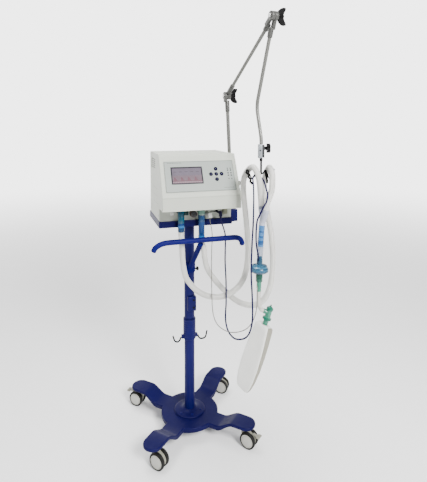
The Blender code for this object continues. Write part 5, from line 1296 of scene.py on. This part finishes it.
def make_flow_sensor():
    """The sensor and its round filter housing, with ribs on the neck, on the housing's shoulder and on the
    green connector."""
    way = SENSOR_FOOT - Y_FOOT
    profile = [(0.0, 0.0, 0), (0.0104, 0.0, 0), (0.0110, 0.001, 0), (0.0110, 0.008, 1), (0.0100, 0.0088, 1),
               (0.0100, 0.0100, 1), (0.0110, 0.0108, 1), (0.0110, 0.034, 2), (0.0190, 0.0360, 2),
               (0.0280, 0.0400, 2), (0.0335, 0.0440, 1), (0.0358, 0.0470, 1), (0.0365, 0.0495, 2),
               (0.0365, 0.0530, 0), (0.0352, 0.0540, 0), (0.0352, 0.0556, 2), (0.0365, 0.0566, 1),
               (0.0365, 0.0595, 1), (0.0345, 0.0625, 1), (0.0285, 0.0665, 2), (0.0190, 0.0700, 2)]
    profile += toned(3, (0.0130, 0.0710), (0.0130, 0.0880), (0.0124, 0.0886), (0.0124, 0.0898),
                     (0.0130, 0.0904), (0.0130, 0.1010))
    profile += toned(4, (0.0120, 0.1025), (0.0095, 0.1040), (0.0095, way.length), (0.0, way.length))
    bm = turned(profile, 64)
    for i in range(24):
        angle = math.tau * i / 24
        spin = Matrix.Rotation(angle, 3, "Z")
        tilt = spin @ Matrix.Rotation(-0.20, 3, "Y")
        block((0.0190, 0.0011, 0.0016), 0.0004, bm, (*dial(0.0215, angle), 0.0362), tilt, 1)
        block((0.0011, 0.0011, 0.0190), 0.0004, bm, (*dial(0.0110, angle), 0.0225), spin, 0)
        block((0.0010, 0.0010, 0.0150), 0.0003, bm, (*dial(0.0130, angle), 0.0800), spin, 3)
    piece("flow_sensor_body", bm, [FILTER_BLUE, FILTER_BLUE, FILTER_PALE, GREEN_DARK, GREEN_PALE], "hanger",
          Y_FOOT, facing(way, (0, 1, 0)), ["flow_sensor"])


def make_catheter_mount():
    """The corrugated tube from the flow sensor to the elbow's side port, with a plain cuff at each end."""
    down = (SENSOR_FOOT - Y_FOOT).normalized()
    leave = (MOUNT_END - SIDE_PORT).normalized()
    knots = [SENSOR_FOOT + down * 0.0006, SENSOR_FOOT + down * 0.020, (0.1765, -0.4305, 0.812),
             (0.1780, -0.4325, 0.789), MOUNT_END + leave * 0.010, MOUNT_END + leave * 0.0009]
    step, corrugation = 0.0006, 0.0030
    route = smooth_route(knots, step)
    count = len(route) - 1
    scales, looks = [], []
    for i in range(count + 1):
        share = i / count
        ripple = 0.5 - 0.5 * math.cos(math.tau * i * step / corrugation)
        cuff = share < 0.13 or share > 0.86
        scales.append(1.0 if cuff else 1.0 - 0.11 * ripple)
        looks.append(1 if share < 0.13 else 0)
    bm = swept(route, circle(0.0088, 28), scales=scales, looks=looks)
    piece("catheter_mount_tube", bm, [HOSE_CLEAR, GREEN_PALE], "hanger", hides=["catheter_mount"])


def make_swivel_elbow():
    """The green elbow in the lung's neck, with its side port and the cap on top."""
    profile = [(0.0, 0.0015, 1), (0.0100, 0.0015, 1), (0.0105, 0.0025, 1), (0.0105, 0.012, 1),
               (0.0099, 0.0128, 1), (0.0105, 0.0136, 1), (0.0105, 0.0200, 0), (0.0150, 0.0208, 0),
               (0.0175, 0.0225, 0), (0.0175, 0.0250, 0), (0.0165, 0.0258, 0), (0.0175, 0.0266, 0),
               (0.0175, 0.0295, 0), (0.0150, 0.0315, 2), (0.0125, 0.0330, 2), (0.0118, 0.0400, 2),
               (0.0115, 0.0560, 2), (0.0118, 0.0600, 0), (0.0135, 0.0612, 0), (0.0135, 0.0690, 0),
               (0.0115, 0.0712, 0), (0.0090, 0.0725, 0), (0.0070, 0.0745, 0), (0.0032, 0.0765, 0),
               (0.0030, 0.0820, 0), (0.0, 0.0830, 0)]
    bm = turned(profile, 48, at=LUNG_TOP, turn=facing(ELBOW_WAY))
    way = MOUNT_END - SIDE_PORT
    port = toned(2, (0.0, 0.0), (0.0095, 0.0), (0.0095, way.length - 0.003), (0.0090, way.length - GAP),
                 (0.0, way.length - GAP))
    turned(port, 36, bm, SIDE_PORT, facing(way))
    block((0.004, 0.020, 0.004), 0.001, bm, LUNG_TOP + ELBOW_WAY * 0.0650, facing(ELBOW_WAY), 0)
    piece("swivel_elbow_body", bm, [GREEN, GREEN_PALE, GREEN_PALE], "hanger", hides=["swivel_elbow"])


def make_lung():
    """A wedge-shaped breathing bag: thick at its neck, thin at its foot, with soft faces.

    keys are (height, half width, half thickness) of its rounded box section.
    """
    upward = (LUNG_TOP - LUNG_FOOT).normalized()
    broad = HANGER_ACROSS * -0.643 + HANGER_AWAY * 0.766
    turn = facing(upward, broad)
    long = (LUNG_TOP - LUNG_FOOT).length
    keys = [(0.0, 0.0215, 0.0030), (0.003, 0.0270, 0.0046), (0.009, 0.0325, 0.0060), (0.025, 0.0388, 0.0077),
            (0.055, 0.0443, 0.0104), (0.10, 0.0468, 0.0137), (0.15, 0.0453, 0.0170), (0.20, 0.0418, 0.0192),
            (long - 0.016, 0.0353, 0.0218), (long - 0.006, 0.0338, 0.0208), (long - 0.002, 0.0315, 0.0190),
            (long, 0.0285, 0.0165)]
    bm = bmesh.new()
    rings, around, squareness = [], 64, 0.30
    for (z0, x0, y0), (z1, x1, y1) in zip(keys, keys[1:]):
        steps = max(1, round((z1 - z0) / 0.006))
        for s in range(steps):
            t = s / steps
            rings.append((z0 + (z1 - z0) * t, x0 + (x1 - x0) * t, y0 + (y1 - y0) * t))
    rings.append(keys[-1])
    made = []
    for z, half_x, half_y in rings:
        middle = math.sin(math.pi * min(max(z / long, 0.0), 1.0))
        ring = []
        for i in range(around):
            angle = math.tau * i / around
            c, s = math.cos(angle), math.sin(angle)
            x = half_x * math.copysign(abs(c) ** squareness, c)
            y = half_y * math.copysign(abs(s) ** squareness, s)
            dent = 0.0016 * middle * (1 - (x / half_x) ** 2)
            y -= math.copysign(dent, s) if abs(s) > 0.2 else 0.0
            ring.append(bm.verts.new((x, y, z)))
        made.append(ring)
    for low, high in zip(made, made[1:]):
        for i in range(around):
            j = (i + 1) % around
            angle = math.tau * (i + 0.5) / around
            face = bm.faces.new([low[i], low[j], high[j], high[i]])
            # Faces on the narrow flanks take look 1, painted shade.
            edge = abs(math.cos(angle)) ** squareness > 0.985 and abs(math.sin(angle)) < 0.62
            face.material_index = 1 if edge else 0
    bm.faces.new(made[0])
    bm.faces.new(made[-1])
    stud = [(0.0, 0.0), (0.0026, 0.0), (0.0022, 0.0006), (0.0, 0.0008)]
    turned(stud, 20, bm, (0.006, -0.0128, 0.105), facing((0, -1, 0)))
    piece("test_lung_bag", bm, [LUNG, LUNG_FLANK_SHADE], "test_lung", LUNG_FOOT, turn, ["test_lung"],
          sharp=50)


def make_lung_neck_ring():
    upward = (LUNG_TOP - LUNG_FOOT).normalized()
    cap = [(0.0, 0.0), (0.0150, 0.0), (0.0150, 0.0012), (0.0135, 0.0018), (0.0, 0.0018)]
    bm = turned(cap, 40, at=LUNG_TOP - upward * 0.0008, turn=facing(upward))
    piece("lung_neck_ring", bm, WHITE, "test_lung")


make_y_piece()
make_flow_sensor()
make_catheter_mount()
make_swivel_elbow()
make_lung()
make_lung_neck_ring()


# CAD pieces that keep their own shape

KEPT = {"tray": CAST, "arm_bracket": PAINT, "rear_casing": CASING, "front_cover": CASING,
        "control_panel": PANEL, "display_window": SCREEN, "power_inlet": BLACK, "circuit_board": BOARD,
        "blower_housing": DARK, "blower_impeller": STEEL, "power_supply": STEEL}
for node, kept_finish in KEPT.items():
    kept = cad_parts[node]
    for material_slot in kept.material_slots:
        material_slot.material = kept_finish
    if not kept.material_slots:
        kept.data.materials.append(kept_finish)
